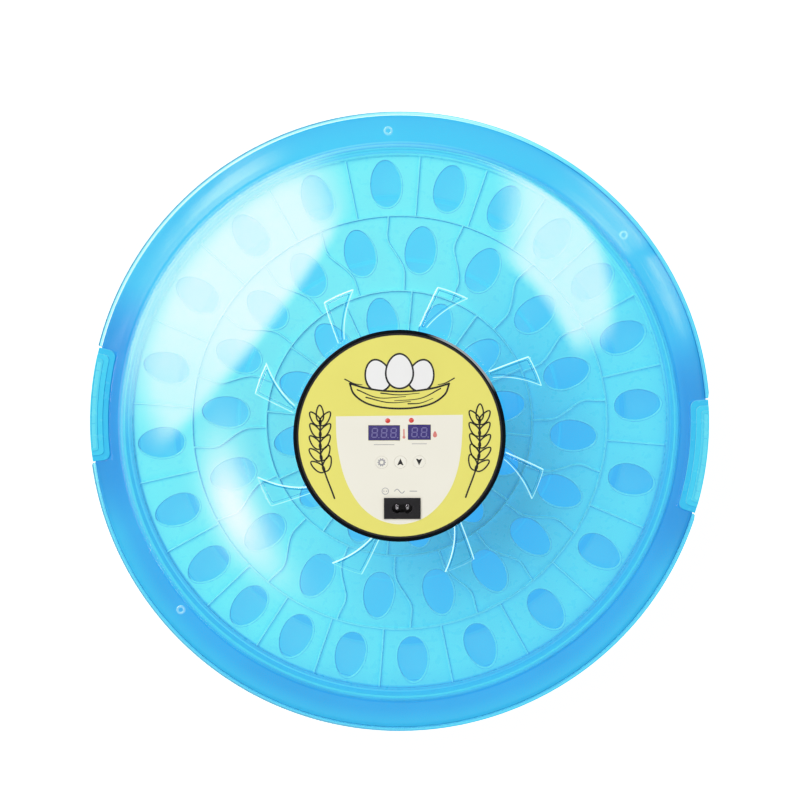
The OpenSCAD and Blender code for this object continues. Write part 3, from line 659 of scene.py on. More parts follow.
# name, colour, roughness, colour variation, grain, other settings, CAD pieces painted with it
PLASTICS = (
    # glow in the settings of the grips, the seal and the digit segments is painted glow
    ("grip_cyan_plastic", grip_painted_light_field, 0.24, 0, 0.02, dict(translucent=0.2, glow=0.06), ""),
    ("seal_foam", (0.085, 0.64, 0.97), 0.75, 0.10, 0.25, dict(glow=0.08, spec=0.2), "lid_seal"),
    ("housing_black_gloss", (0.0028, 0.0052, 0.0080), 0.16, 0.2, 0.02,
     dict(bevel=0.9, spec=0.06, glint=rim_glint), "control_housing"),
    ("plate_black", (0.016, 0.016, 0.018), 0.42, 0.2, 0.10, dict(bevel=0.3),
     "panel_plate heater_guard buzzer"),
    ("inlet_black", (0.008, 0.008, 0.009), 0.34, 0.25, 0.10, dict(bevel=0.45), "power_inlet"),
    ("rubber_black", (0.02, 0.02, 0.022), 0.7, 0.25, 0.3, dict(bevel=0.5), "rubber_feet"),
    ("gasket_grey", (0.60, 0.62, 0.63), 0.7, 0.15, 0.3, {}, "housing_gasket"),
    ("label_yellow_film", srgb(229, 222, 112), 0.36, 0.035, 0.05, {}, "panel_label"),
    ("label_cream_print", srgb(238, 234, 219), 0.38, 0.03, 0.05, {}, ""),
    ("label_black_ink", (0.012, 0.012, 0.013), 0.42, 0.2, 0.06, {}, ""),
    ("label_white_print", (0.86, 0.86, 0.85), 0.40, 0.04, 0.05, {}, ""),
    ("label_grey_print", (0.36, 0.36, 0.37), 0.42, 0.1, 0.05, {}, ""),
    ("label_red_print", srgb(214, 128, 120), 0.42, 0.1, 0.05, {}, ""),
    ("window_violet", srgb(58, 48, 120), 0.14, 0.25, 0.01, dict(bevel=0.3, coat=0.4),
     "temperature_window humidity_window"),
    ("digit_segments", srgb(112, 106, 158), 0.3, 0.12, 0.02, dict(glow=0.05), ""),
    ("display_black", (0.02, 0.02, 0.024), 0.4, 0.2, 0.1, dict(bevel=0.2),
     "temperature_display humidity_display tact_switches microcontroller"),
    ("led_red", srgb(214, 66, 54), 0.12, 0.15, 0.0, dict(glow=0.12, coat=0.6),
     "heating_led humidity_led"),
    ("button_cream", srgb(240, 236, 222), 0.36, 0.03, 0.05, dict(bevel=0.4),
     "settings_button up_button down_button"),
    ("board_green", (0.02, 0.16, 0.06), 0.3, 0.3, 0.08, {}, "control_board"),
    ("board_tan", (0.42, 0.30, 0.10), 0.45, 0.25, 0.1, {}, "power_board"),
    ("transformer_tape", (0.70, 0.52, 0.10), 0.4, 0.2, 0.15, {}, "transformer"),
    ("relay_blue", (0.03, 0.12, 0.48), 0.3, 0.15, 0.06, dict(bevel=0.4), "relay"),
    ("capacitor_sleeve", (0.03, 0.035, 0.06), 0.3, 0.2, 0.04, {}, "capacitors"),
    ("wire_black", (0.02, 0.02, 0.02), 0.5, 0.2, 0.05, {}, "mains_leads sensor_lead"),
    ("wire_red", (0.45, 0.02, 0.015), 0.4, 0.2, 0.05, {}, "fan_lead"),
    ("wire_white", (0.78, 0.77, 0.74), 0.5, 0.1, 0.05, {}, "heater_leads"),
    ("probe_white", (0.80, 0.80, 0.78), 0.4, 0.08, 0.1, dict(bevel=0.3), "sensor_probe"),
    ("fan_grey", (0.025, 0.025, 0.03), 0.38, 0.25, 0.12, dict(bevel=0.4), "fan_frame fan_rotor"),
)
# name, colour, roughness, brushed, CAD pieces
METALS = (
    ("screw_zinc", (0.62, 0.63, 0.65), 0.3, False, "housing_screws panel_screws "
     "control_board_screws power_board_screws fan_screws guard_screws"),
    ("pin_nickel", (0.80, 0.80, 0.82), 0.14, False, "inlet_pins"),
    ("bush_bronze", (0.72, 0.50, 0.22), 0.35, False, "fan_bush"),
    ("winding_copper", (0.62, 0.28, 0.12), 0.4, True, "fan_stator"),
    ("heater_steel", (0.55, 0.56, 0.58), 0.28, True, "heater_ring heater_clips"),
    ("cutout_aluminium", (0.80, 0.81, 0.83), 0.3, False, "thermal_cutout"),
)
PAINT = {}


def paint(material, pieces):
    PAINT[material.name] = material
    for piece in pieces.split():
        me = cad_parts[piece].data
        me.materials.clear()
        me.materials.append(material)


for *look, settings, pieces in PLASTICS:
    paint(plastic(*look, **settings), pieces)
for *look, pieces in METALS:
    paint(metal(*look), pieces)

# ---------------------------------------------------------------- tub
RECESS_HALF = 9.6       # half angle of the recess in the rim under each grip

# wall curve between z 4 and 72, outside going up and inside going down
wall_out = [(213 + 25.5 * sin(pi / 2 * s), 4 + 68 * s, 0) for s in np.linspace(0, 1, 26)]
wall_in = [(210.4 + 25.5 * sin(pi / 2 * s), 4 + 68 * s, 0) for s in np.linspace(0.493, 0, 14)]
# radius, z, corner radius
TUB_PROFILE = [
    (213, 4, 0.8), *wall_out[1:-1],
    # rim
    (238.5, 72, 0.5), (240.5, 75.5, 2.5), (250, 75.5, 0), (264.5, 75.5, 1.0), (264.5, 60, 0.8),
    (267, 60, 0.8), (267, 78, 1.1), (256, 78, 0), (248, 78, 0), (240, 78, 0.6),
    (240, 83, 0.7), (238, 83, 0.7), (238, 66, 0.5), (228, 66, 0.8), (228, 63.4, 0.5),
    # floor from the wall to the middle, with two ring channels and an upright ring
    (234.2, 63.4, 0.8), (230.5, 46.5, 4), (200, 46.5, 2.5), (197, 24, 3), (145, 24, 3),
    (142, 46.5, 2.5), (112, 46.5, 2.5), (109, 24, 3), (67, 24, 3), (64.5, 46.5, 1.5),
    (62, 46.5, 0.3), (62, 66, 0.7), (59.5, 66, 0.7), (59.5, 46.5, 1.5), (30, 46.5, 0),
    (0.02, 46.5, 0),
    # underside, back out to the wall
    (0.02, 44, 0), (62, 44, 2), (65, 21.5, 3), (111, 21.5, 3), (114, 44, 2.5), (140, 44, 2.5),
    (143, 21.5, 3), (199, 21.5, 3), (202, 44, 2.5), (228.5, 44, 2), *wall_in[:-1],
    (210.4, 4, 0.8)]


def tub_angles(step=1.5):
    """Even columns, with closer ones at the ends of the recesses."""
    extra = [(g + s * (RECESS_HALF + d)) % 360 for g in GRIPS for s in (-1, 1)
             for d in (-0.3, -0.08, 0.08, 0.3)]
    even = [i * step for i in range(int(360 / step))]
    return sorted([a for a in even if all(angle_between(a, e) > 0.5 for e in extra)] + extra)


def recess(r, z, angle):
    if r > 256 and min(angle_between(angle, g) for g in GRIPS) < RECESS_HALF:
        r, z = 256 - 0.02 * (267 - r), max(z, 75.5)
    return r, z


tub = Mesh().add(lathe(rounded(TUB_PROFILE), tub_angles(), recess))
boss = rounded([(3.5, 4, 0.4), (13, 4, 1.2), (13, 23, 0.5), (3.5, 23, 0.3)])
for i in range(4):
    tub.add(lathe(boss, 48), at=polar(175, 45 + 90 * i))
post = rounded([(0.02, 46, 0), (4.2, 46, 0.3), (4.2, 66, 0.8), (0.02, 66, 0)])
for i in range(6):
    tub.add(lathe(post, 32), at=polar(121.5, 30 + 60 * i))
wall_rib = rounded([(-1, 20, 0.5), (1, 20, 0.5), (1, 44.5, 0.2), (-1, 44.5, 0.2)], 3)
for i in range(12):
    tub.add(sweep([polar(r, 15 + 30 * i) for r in (205, 211, 217, 221.6)], wall_rib))
tub.build("tub_shell", tub_plastic, "base", "base_tub", sharp=40, replaces=True)


# ---------------------------------------------------------------- grips
def soft_sector(inner, outer, half, corner, turn):
    """Ring sector of a half angle, with its two inner corners rounded."""
    corner_a = half - arc_angle(corner, inner + corner)
    points = [polar(outer, half * k / 20) for k in range(-20, 21)]

    def corner_arc(angle, start):
        p = polar(inner + corner, angle)
        for k in range(6):
            q = polar(corner, start + 18 * k)
            points.append((p[0] + q[0], p[1] + q[1]))

    corner_arc(corner_a, corner_a + 90)
    points.extend(polar(inner, corner_a * k / 20) for k in range(19, -20, -1))
    corner_arc(-corner_a, 180 - corner_a)
    return [turned(x, y, turn) for x, y in points]


# outlines (inner radius, outer radius, half angle, corner), z0, z1, edge, rounded bottom edge
PAD = (262.2, 268.8, 8.7, 2.6)
GRIP_LAYERS = (
    ([(256.4, 268.5, 9.3, 1.2)], 62, 79, 0.8, True),
    ([(253, 269, 10.7, 6)], 78.05, 79.8, 0.7, True),
    ([(257.6, 268.9, 9.6, 4.5)], 78.6, 81, 0.7, False),
    ([PAD], 79.4, 81.3, 0.3, False),
    ([PAD, (264.2, 267.4, 8.1, 1.4)], 80.9, 82, 0.4, False))
tick = rounded([(-0.45, 81, 0), (0.45, 81, 0), (0.3, 81.85, 0.2), (-0.3, 81.85, 0.2)], 2)

for side, g in zip(("left", "right"), GRIPS):
    grip = Mesh()
    for sectors, z0, z1, edge, bottom in GRIP_LAYERS:
        grip.add(slab([soft_sector(*s, g) for s in sectors], z0, z1, edge, bottom))
    for a in (-6.5, -1.5, 3.5):
        grip.add(sweep([polar(r, g + a) for r in (264.4, 265.8, 267.3)], tick))
    grip.build("grip_" + side + "_moulding", PAINT["grip_cyan_plastic"], "base", "grip_" + side,
               sharp=40, weighted=True, replaces=True)

# ---------------------------------------------------------------- egg tray
TRAY_Z = 66.05
TRAY_TOP = TRAY_Z + 2.25
RIB_TOP = TRAY_TOP + 3.5
OUTER_RING, MIDDLE_RING, INNER_RING = 181.2, 116.3, 60.7     # radii of the ring ribs


def outer_angle(i):
    a = i * 360 / 22
    return a + 5 * cos(rad(2 * (a - 12)))


def middle_angle(i):
    a = i * 360 / 18 + 19.7
    return a - 3.6 * cos(rad(2 * a))


def inner_angle(i):
    return i * 30 + 9.6


def opening(radius, angle, grow=0.0, n=56):
    """Oval opening whose long axis points at the middle."""
    out = []
    for k in range(n):
        t = 2 * pi * k / n
        x = radius + (20 + grow) * cos(t) + 0.9 * cos(2 * t) - 0.9
        out.append(turned(x, (13 + grow) * sin(t), angle))
    return out


openings = [(209, outer_angle(i)) for i in range(22)]
openings += [(152.5, middle_angle(i)) for i in range(18)]
openings += [(90.6, inner_angle(i)) for i in range(12)]
loops = [circle(234.6, 240)] + [opening(r, a) for r, a in openings]
for k in (1, 2, 3):         # rings of small holes in the middle
    loops += [circle(4.5, 24, polar(15 * k, 9.6 + 60 * i / k)) for i in range(6 * k)]
loops.append(circle(6, 32))
tray = Mesh().add(slab(loops, TRAY_Z, TRAY_TOP, 0.75))

# a low raised lip round each opening: offset, z
LIP = [(0.9, TRAY_TOP - 0.3), (0.75, TRAY_TOP + 0.25), (0.35, TRAY_TOP + 0.45),
       (-0.1, TRAY_TOP + 0.3), (-0.5, TRAY_TOP - 0.3)]
for r, a in openings:
    tray.add(sweep(opening(r, a, 1.35), LIP, closed=True))

# ribs: offset, z of one flank, then the crest and the other flank
flank = [(-1.25, TRAY_TOP - 0.3), (-0.95, TRAY_TOP + 0.08), (-0.72, TRAY_TOP + 0.6),
         (-0.62, RIB_TOP - 0.55), (-0.42, RIB_TOP - 0.12)]
RIB = flank + [(0, RIB_TOP)] + [(-offset, z) for offset, z in reversed(flank)]
for r in (OUTER_RING, MIDDLE_RING, INNER_RING):
    tray.add(sweep([polar(r, 2 * i) for i in range(180)], RIB, closed=True))
rim = rounded([(233.0, TRAY_Z + 0.4, 0.3), (235, TRAY_Z, 0.7), (235, TRAY_TOP + 5, 0.7),
               (233.2, TRAY_TOP + 5, 0.7), (233.2, TRAY_TOP + 0.6, 0.5),
               (231.6, TRAY_TOP - 0.4, 0)])
tray.add(lathe(rim, 240))
for i in range(22):
    a = (outer_angle(i) + outer_angle(i + 1)) / 2
    tray.add(sweep([polar(r, a) for r in np.linspace(OUTER_RING, 234.0, 8)], RIB))
for i in range(18):         # these lean over towards the inner ring
    a = (middle_angle(i) + middle_angle(i + 1)) / 2
    path = []
    for r in np.linspace(MIDDLE_RING, OUTER_RING, 30):
        lean = 5 * float(smoothstep((161 - r) / 31)) - 0.7 * math.exp(-((r - 164) / 9) ** 2)
        path.append(polar(r, a - lean))
    tray.add(sweep(path, RIB))
for i in range(12):
    path = [polar(r, inner_angle(i) + 15) for r in np.linspace(INNER_RING, MIDDLE_RING, 8)]
    tray.add(sweep(path, RIB))
tray.build("tray_moulding", tray_plastic, "tray", "egg_tray", sharp=50, weighted=True,
           replaces=True)

# ---------------------------------------------------------------- clear lid
DOME_R, DOME_Z = 427.3, -261.3      # sphere of the dome: radius and height of its centre
SHOULDER_R, FOOT_R = 20.0, 245.0    # rounding between dome and flange, and where it ends
SHOULDER_A = math.asin((FOOT_R - 0.4 - SHOULDER_R) / (DOME_R - SHOULDER_R))
SHOULDER_AT = ((DOME_R - SHOULDER_R) * sin(SHOULDER_A),
               DOME_Z + (DOME_R - SHOULDER_R) * cos(SHOULDER_A))
WALL = 2.2
TOP_Z = 157.6                       # flat ring round the top hole
FLANGE_TOP, FLANGE_UNDER = 81.0, 78.05
RIM_EDGE = 1.2                      # rounding of the flange's outer edge
DUCT_IN, DUCT_R = 86.5, 124.0       # the eight raised ducts start and end here
OUTSIDE = [2.6, 1.3, 0.55, 0.2]     # column distances outside a duct's side
INSIDE = [-0.05, 0.18, 0.38, 0.58, 0.8, 1.1, 1.6, 2.1, 2.4, 2.7, 3.0, 3.3]     # and inside it
GAP_STEPS, DUCT_STEPS = 20, 6       # even columns between ducts and along a duct's top
NOTCH_HALF = 10.72                  # half angle of the notch in the flange at each grip


def skin(r, inset=0.0):
    return DOME_Z + np.sqrt((DOME_R - inset) ** 2 - r * r)


def duct_sides(r):
    """Angles of a duct's two sides at radius r."""
    s = min(max((min(r, DUCT_R) - DUCT_IN) / (DUCT_R - DUCT_IN), 0), 1)
    return 31 - 13.3 * s ** 1.15, 35.2 - 4.9 * s ** 0.8


def even_columns(r):
    """Column angles round the lid at radius r, following the ducts' sides."""
    r = max(DUCT_IN, min(r, DUCT_R))
    a, b = duct_sides(r)
    half = (b - a) / 2 * pi / 180 * r
    squeeze = min(1.0, (half - 0.12) / INSIDE[-1])
    outside = [arc_angle(x, r) for x in OUTSIDE]
    inside = [arc_angle(x * squeeze if x > 0 else x, r) for x in INSIDE]

    def between(start, end, steps):
        return [start + (end - start) * i / steps for i in range(1, steps)]

    sector = between(b - 45 + outside[0], a - outside[0], GAP_STEPS)
    sector += [a - x for x in outside] + [a + x for x in inside]
    sector += between(a + inside[-1], b - inside[-1], DUCT_STEPS)
    sector += [b - x for x in reversed(inside)] + [b + x for x in reversed(outside)]
    return np.array([c + 45 * s for s in range(8) for c in sector])


def notch_columns():
    """Extra columns at the notch sides: index of the column before, share of the way on."""
    base = even_columns(DUCT_R)
    closed = np.append(base, base[0] + 360)
    found = []
    for g in GRIPS:
        for s in (-1, 1):
            for d in (-0.5, -0.28, -0.1, 0.08, 0.24):
                a = (g + s * (NOTCH_HALF + d) - base[0]) % 360 + base[0]
                j = int(np.searchsorted(base, a)) - 1
                found.append((j, (a - base[j]) / (closed[j + 1] - base[j])))
    found.sort()
    return np.array([j for j, _ in found]), np.array([share for _, share in found])


extra_at, extra_share = notch_columns()


def columns(r):
    base = even_columns(r)
    closed = np.append(base, base[0] + 360)
    extra = base[extra_at] + (closed[extra_at + 1] - base[extra_at]) * extra_share
    return np.insert(base, extra_at + 1, extra)


def duct(r, inset=0.0):
    """Height of the ducts above the dome in each column at radius r."""
    side_a, side_b = duct_sides(r)
    middle = (side_b + side_a + 45) / 2
    angle = (columns(r) - (middle - 45)) % 45 + (middle - 45)
    per_degree = rad(1) * r
    weight = smoothstep(((angle - side_a) * per_degree - inset + 0.15) / 1.05)
    weight = weight * smoothstep(((side_b - angle) * per_degree - inset + 0.15) / 1.05)
    weight = weight * smoothstep((DUCT_R - inset - r + 0.15) / 1.05)
    weight = weight * smoothstep((r - 86.6 - inset + 0.1) / 0.9)
    roof = 162.2 + (r - 86.4) * (151.6 - 162.2) / (128 - 86.4)
    return (roof - skin(r)) * weight


rim_angles = columns(DUCT_R)
from_grip = np.array([min(angle_between(a, g) for g in GRIPS) for a in rim_angles])
notch = smoothstep((NOTCH_HALF + 0.30 - from_grip) / 0.45)
rim_r = 270 - notch * (270 - 252.3)
rim_low = 71 + notch * (FLANGE_UNDER - 71)


def lid_profile():
    """Rows of (radius, z), each a number or one value to a column."""
    # hole edge, top ring and the dome's outside with its ducts
    rows = [(74, 155.6), (74, 157.2), (74.5, TOP_Z), (80, TOP_Z), (85.9, TOP_Z)]
    rows += [(r, max(TOP_Z, skin(r)) + duct(r)) for r in (86.5, 86.65, 86.85, 87.1, 87.5, 88.0)]
    outer = [88.4, 89.2, *np.arange(91, 121.5, 2.0), 122.4, 122.85, 123.1, 123.3, 123.5, 123.7,
             123.9, 124.1, 124.4, 125.2, 127, *np.arange(130, 233, 4.0)]
    rows += [(r, skin(r) + duct(r)) for r in outer]
    # shoulder and flange
    rows += [(SHOULDER_AT[0] + SHOULDER_R * sin(a), SHOULDER_AT[1] + SHOULDER_R * cos(a))
             for a in np.linspace(SHOULDER_A, rad(82), 14)]
    rows += [(244.75, 81.25), (245.3, 81.06), (246.1, FLANGE_TOP), (246.5, FLANGE_TOP)]
    rows += [(246.5 + t * (rim_r - RIM_EDGE - 246.5), FLANGE_TOP) for t in (0.2, 0.5, 0.8)]
    rows += [(rim_r - 1.5, FLANGE_TOP), (rim_r - RIM_EDGE, FLANGE_TOP)]
    # outer edge and the skirt below it
    edge_z = FLANGE_TOP - RIM_EDGE
    rows += [(rim_r - RIM_EDGE + RIM_EDGE * sin(rad(a)), edge_z + RIM_EDGE * cos(rad(a)))
             for a in (22.5, 45, 67.5, 90)]
    rows.append((rim_r, (edge_z + rim_low + 0.6) / 2))
    rows += [(rim_r - dr, np.minimum(rim_low + dz, 79.6)) for dr, dz in
             ((0, 0.6), (0.18, 0.18), (0.6, 0), (1.2, 0), (1.62, 0.18), (1.8, 0.6))]
    rows.append((rim_r - 1.8, np.maximum(77.4, rim_low)))
    # underside of the flange, then the inside back up to the top ring
    rows.append((rim_r - 2.4, FLANGE_UNDER))
    rows += [(243.4 + t * (rim_r - 2.4 - 243.4), FLANGE_UNDER) for t in (0.7, 0.35, 0.0)]
    rows.append((242.6, 78.15))
    radius = SHOULDER_R - WALL
    rows += [(SHOULDER_AT[0] + radius * sin(a), SHOULDER_AT[1] + radius * cos(a))
             for a in np.linspace(rad(88), SHOULDER_A, 10)]
    inner = [*np.arange(230, 127, -6.0), 125, 123, 122.3, 122.0, 121.8, 121.6, 121.4, 121.2,
             121.0, 120.7, 120.2, *np.arange(118, 93, -3.0), 91, 89.8, 89.4, 89.1, 88.8, 88.5]
    rows += [(r, skin(r, WALL) + duct(r, WALL)) for r in inner]
    rows += [(88.0, 154.75), (87.0, 155.1), (86, 155.2), (80, 155.2), (74.4, 155.2)]
    return rows


lid_rows, lid_vertices = lid_profile(), []
count = len(rim_angles)
for r, z in lid_rows:
    angles = columns(r) if np.isscalar(r) else rim_angles
    for radius, height, a in zip(np.broadcast_to(r, count), np.broadcast_to(z, count), angles):
        lid_vertices.append((*polar(radius, a), height))
lid = Mesh().add((lid_vertices, grid_faces(len(lid_rows), count)))
lid.build("lid_shell", lid_plastic, "lid", "dome_lid", sharp=60, replaces=True)

# small raised rings on the flange: radius, angle
VENTS = ((253.5, 92.2), (253.5, 40.3), (250.5, 220.3))
vent_profile = rounded([(2.0, 80.9, 0), (3.9, 80.9, 0), (3.7, 82.6, 0.7), (2.0, 82.6, 0.6)])
# painted light: the vent rings glow on all their slopes and a little face on
vent_plastic = clear("lid_boss_clear", tint=(0.80, 0.93, 0.98), deep=(0.35, 0.70, 0.88),
                     rough=0.05, power=1.2, boost=2.0, glint=0.4, base=0.26, always=0.45)
for i, place in enumerate(VENTS):
    vent = Mesh().add(lathe(vent_profile, 40), at=polar(*place))
    vent.build("lid_vent_%d" % (i + 1), vent_plastic, "lid", "dome_lid", sharp=40)

# ---------------------------------------------------------------- printed panel
# bottom and top of each print
CREAM_Z = (194.41, 194.44)
NEST_Z = (194.44, 194.482)
LINE_Z = (194.46, 194.492)
STALK_Z = (194.45, 194.485)
GRAIN_Z = (194.45, 194.486)
MARK_Z = (194.45, 194.475)
DIGIT_Z = (194.49, 194.53)
SYMBOL_Z = (194.54, 194.58)
TEMPERATURE_AT, HUMIDITY_AT = (-12.4, 2.7), (16.0, 3.2)
SETTINGS_AT, UP_AT, DOWN_AT = (-14.4, -21.2), (0.7, -21.0), (15.8, -20.7)


def printed(name, mesh, material, body="lid", slot="panel_label"):
    mesh.build(name, PAINT[material], body, slot, sharp=30)


# cream front part, clockwise from its top right corner to its top left
CREAM_SIDE = [
    (51.0, 17.3), (50.6, 2), (49.3, -14), (46.4, -29), (41.0, -43), (32.0, -56), (20.0, -66.2),
    (6.0, -71.0), (-6.0, -71.0), (-19.0, -66.6), (-30.5, -57.5), (-39.2, -45), (-45.2, -31),
    (-49.0, -15), (-50.9, 0), (-51.3, 16.0)]
outline = [CREAM_SIDE[-1]] + smooth_path(CREAM_SIDE, 8)[:-1]
holes = [rectangle(TEMPERATURE_AT, 25.8, 12.6), rectangle(HUMIDITY_AT, 18.7, 12.6),
         rectangle((2.2, -58.5), 29.0, 16.4, corner=1.0),
         circle(2.05, 24, (-9.5, 12.5)), circle(2.05, 24, (9.5, 12.8))]
holes += [circle(5.12, 40, at) for at in (SETTINGS_AT, UP_AT, DOWN_AT)]
printed("print_cream_front", Mesh().add(slab([outline] + holes, *CREAM_Z)), "label_cream_print")

# three eggs behind the displays: centre, half width, half height, turn
EGGS = (((-17.5, 49.0), 10.2, 13.0, 16), ((17.5, 49.0), 10.2, 13.0, -16),
        ((0, 52.5), 11.0, 14.0, 0))
LINE = 1.5
egg_fill, lines = Mesh(), Mesh()
for k, (centre, a, b, turn) in enumerate(EGGS):
    z = 194.445 + 0.012 * k
    edge = LINE * 0.5
    lines.add(slab([egg(centre, a + edge, b + edge, turn)], 194.44, z + 0.004))
    egg_fill.add(slab([egg(centre, a - edge, b - edge, turn)], 194.44, z + 0.010))

# the nest they lie in
nest_back = smooth_path([(-40, 42.5), (-27, 38.8), (-10, 36.4), (10, 36.4), (27, 38.8),
                         (40, 42.5)], 10)
nest_front = smooth_path([(40, 42.5), (36.5, 33.8), (26, 26.4), (10, 22.8), (-10, 22.8),
                          (-26, 26.4), (-36.5, 33.8), (-40, 42.5)], 10)
nest = Mesh().add(slab([nest_back + nest_front[1:-1]], *NEST_Z))
printed("print_nest_fill", nest, "label_yellow_film")
for path in (nest_back, nest_front):
    lines.add(stroke(path, LINE, LINE_Z))
STRAWS = (
    ((-34, 37.5), (-17, 31), (5, 32)), ((33, 38.5), (17, 30.6), (-4, 28.6)),
    ((-27, 31.4), (-9, 27.2), (9, 28)), ((-44, 46.0), (-37, 42.6), (-30, 41.4)),
    ((44, 46.8), (37, 43.0), (31, 41.6)), ((-15, 34.8), (0, 33.4), (16, 34.8)),
    ((7, 26.2), (17, 26.8), (27, 30.6)))
for straw in STRAWS:
    lines.add(stroke(smooth_path(straw, 10), 1.1, LINE_Z, taper=0.5))


def wheat(mesh, base, tip, bend, pairs=5, size=1.12):
    """Ear of wheat: a bent stalk, pairs of grains along it and one at its tip."""
    base, tip = np.array(base, float), np.array(tip, float)
    along = tip - base
    middle = (base + tip) / 2 + np.array([-along[1], along[0]]) / np.linalg.norm(along) * bend
    path = np.array(smooth_path([base, middle, tip], 24))
    mesh.add(stroke(path, 1.35, STALK_Z))

    def grain(point, angle, reach, half_width, half_height):
        centre = point + np.array(polar(reach * size, angle))
        loop = egg(centre, half_width * size, half_height * size, angle - 90, 28, 0.25)
        mesh.add(stroke(loop, 1.2, GRAIN_Z, closed=True))

    last = len(path) - 1
    for k in range(pairs):
        i = min(int(last * (0.36 + 0.145 * k)), last - 1)
        d = path[i + 1] - path[i - 1]
        for s in (-1, 1):
            grain(path[i], math.degrees(math.atan2(d[1], d[0])) + s * 36, 6.3, 2.7, 5.9)
    d = path[-1] - path[-3]
    grain(path[-1], math.degrees(math.atan2(d[1], d[0])), 5.2, 2.6, 6.0)


wheat(lines, (-52.5, -50.5), (-64.0, 12.5), bend=4.6)
wheat(lines, (53.5, -49.5), (64.6, 13.5), bend=-4.6)
printed("print_black_lines", lines, "label_black_ink")
printed("print_egg_fill", egg_fill, "label_white_print")

# marks beside the windows: a bar over a dot, and a drop
units = Mesh().add(stroke([(3.6, 5.4), (3.6, 3.0), (3.6, 0.4)], 1.1, MARK_Z))
units.add(slab([circle(1.15, 20, (3.6, -0.9))], *MARK_Z))
units.add(slab([egg((28.6, 1.6), 1.55, 2.6, n=24, point=0.45)], *MARK_Z))
printed("print_unit_symbols", units, "label_red_print")

# rules under the windows, then the supply symbol: a wave, a bar and a ring with two dots
SUPPLY_Y = -44.6
RING_X = -11.5
marks = Mesh().add(stroke([(-20.5, -6.9), (-12.4, -6.9), (-4.3, -6.9)], 0.55, MARK_Z))
marks.add(stroke([(10.2, -6.2), (16, -6.2), (21.8, -6.2)], 0.55, MARK_Z))
wave = [(-4.0 + 0.25 * i, SUPPLY_Y + 1.6 * sin(2 * pi * i / 32)) for i in range(33)]
marks.add(stroke(wave, 0.7, MARK_Z))
marks.add(stroke([(x, SUPPLY_Y) for x in (8.4, 11, 14)], 0.7, MARK_Z))
marks.add(stroke(circle(2.6, 28, (RING_X, SUPPLY_Y)), 0.55, MARK_Z, closed=True))
for s in (-1, 1):
    marks.add(slab([circle(0.5, 12, (RING_X + 1.1 * s, SUPPLY_Y))], *MARK_Z))
printed("print_grey_marks", marks, "label_grey_print")

# symbols on the buttons: a gear and two arrowheads
x0, y0 = SETTINGS_AT
teeth = [polar(r, 36 * i + a) for i in range(10)
         for a, r in ((-12, 3.3), (-8, 4.2), (8, 4.2), (12, 3.3))]
gear = [(x0 + x * 0.82, y0 + y * 0.82) for x, y in teeth]
printed("symbol_settings", Mesh().add(slab([gear, circle(1.45, 24, SETTINGS_AT)], *SYMBOL_Z)),
        "label_grey_print", "settings_key", "settings_button")
ARROW = ((0, 3.0), (2.5, -2.4), (1.7, -2.5), (0, -1.5), (-1.7, -2.5), (-2.5, -2.4))
for name, (x0, y0), s in (("up", UP_AT, 1), ("down", DOWN_AT, -1)):
    arrow = [(x0 + x, y0 + s * y) for x, y in ARROW]
    printed("symbol_" + name, Mesh().add(slab([arrow], *SYMBOL_Z)), "label_black_ink",
            name + "_key", name + "_button")


def digit(mesh, centre, width=4.1, height=7.2, thick=0.95, gap=0.18, slant=0.09):
    """A seven-segment figure with all its segments."""
    w, h, t = width / 2, height / 2, thick / 2

    def segment(points):
        loop = [(centre[0] + x + slant * y, centre[1] + y) for x, y in points]
        mesh.add(slab([loop], *DIGIT_Z))

    for y in (h, 0, -h):
        segment([(-w + gap, y), (-w + t + gap, y + t), (w - t - gap, y + t),
                 (w - gap, y), (w - t - gap, y - t), (-w + t + gap, y - t)])
    for x in (-w, w):
        for low, high in ((0, h), (-h, 0)):
            segment([(x, low + gap), (x + t, low + t + gap), (x + t, high - t - gap),
                     (x, high - gap), (x - t, high - t - gap), (x - t, low + t + gap)])


for name, (x0, y0), count in (("temperature", TEMPERATURE_AT, 3), ("humidity", HUMIDITY_AT, 2)):
    figures = Mesh()
    for i in range(count):
        x = x0 + (i - (count - 1) / 2) * 7.6
        digit(figures, (x, y0))
        figures.add(slab([circle(0.5, 12, (x + 3.3, y0 - 3.9))], *DIGIT_Z))
    printed("figures_" + name, figures, "digit_segments", slot=name + "_display")


# ---------------------------------------------------------------- floor
def floor_material():
    t = Tree("floor_pale")
    return t.finish(t.principled({
        "Base Color": t.mix(t.noise(3, 2), (0.90, 0.90, 0.90), (0.93, 0.93, 0.93)),
        "Roughness": 0.8, "Specular IOR Level": 0.1,
        "Emission Color": (1.0, 1.0, 1.0), "Emission Strength": 0.95}))


me = bpy.data.meshes.new("floor")
me.from_pydata([(-6, -6, 0), (6, -6, 0), (6, 6, 0), (-6, 6, 0)], [], [(0, 1, 2, 3)])
me.materials.append(floor_material())
floor = bpy.data.objects.new("floor", me)
bpy.context.scene.collection.objects.link(floor)
floor.location.z = -0.0002
floor.visible_glossy = False


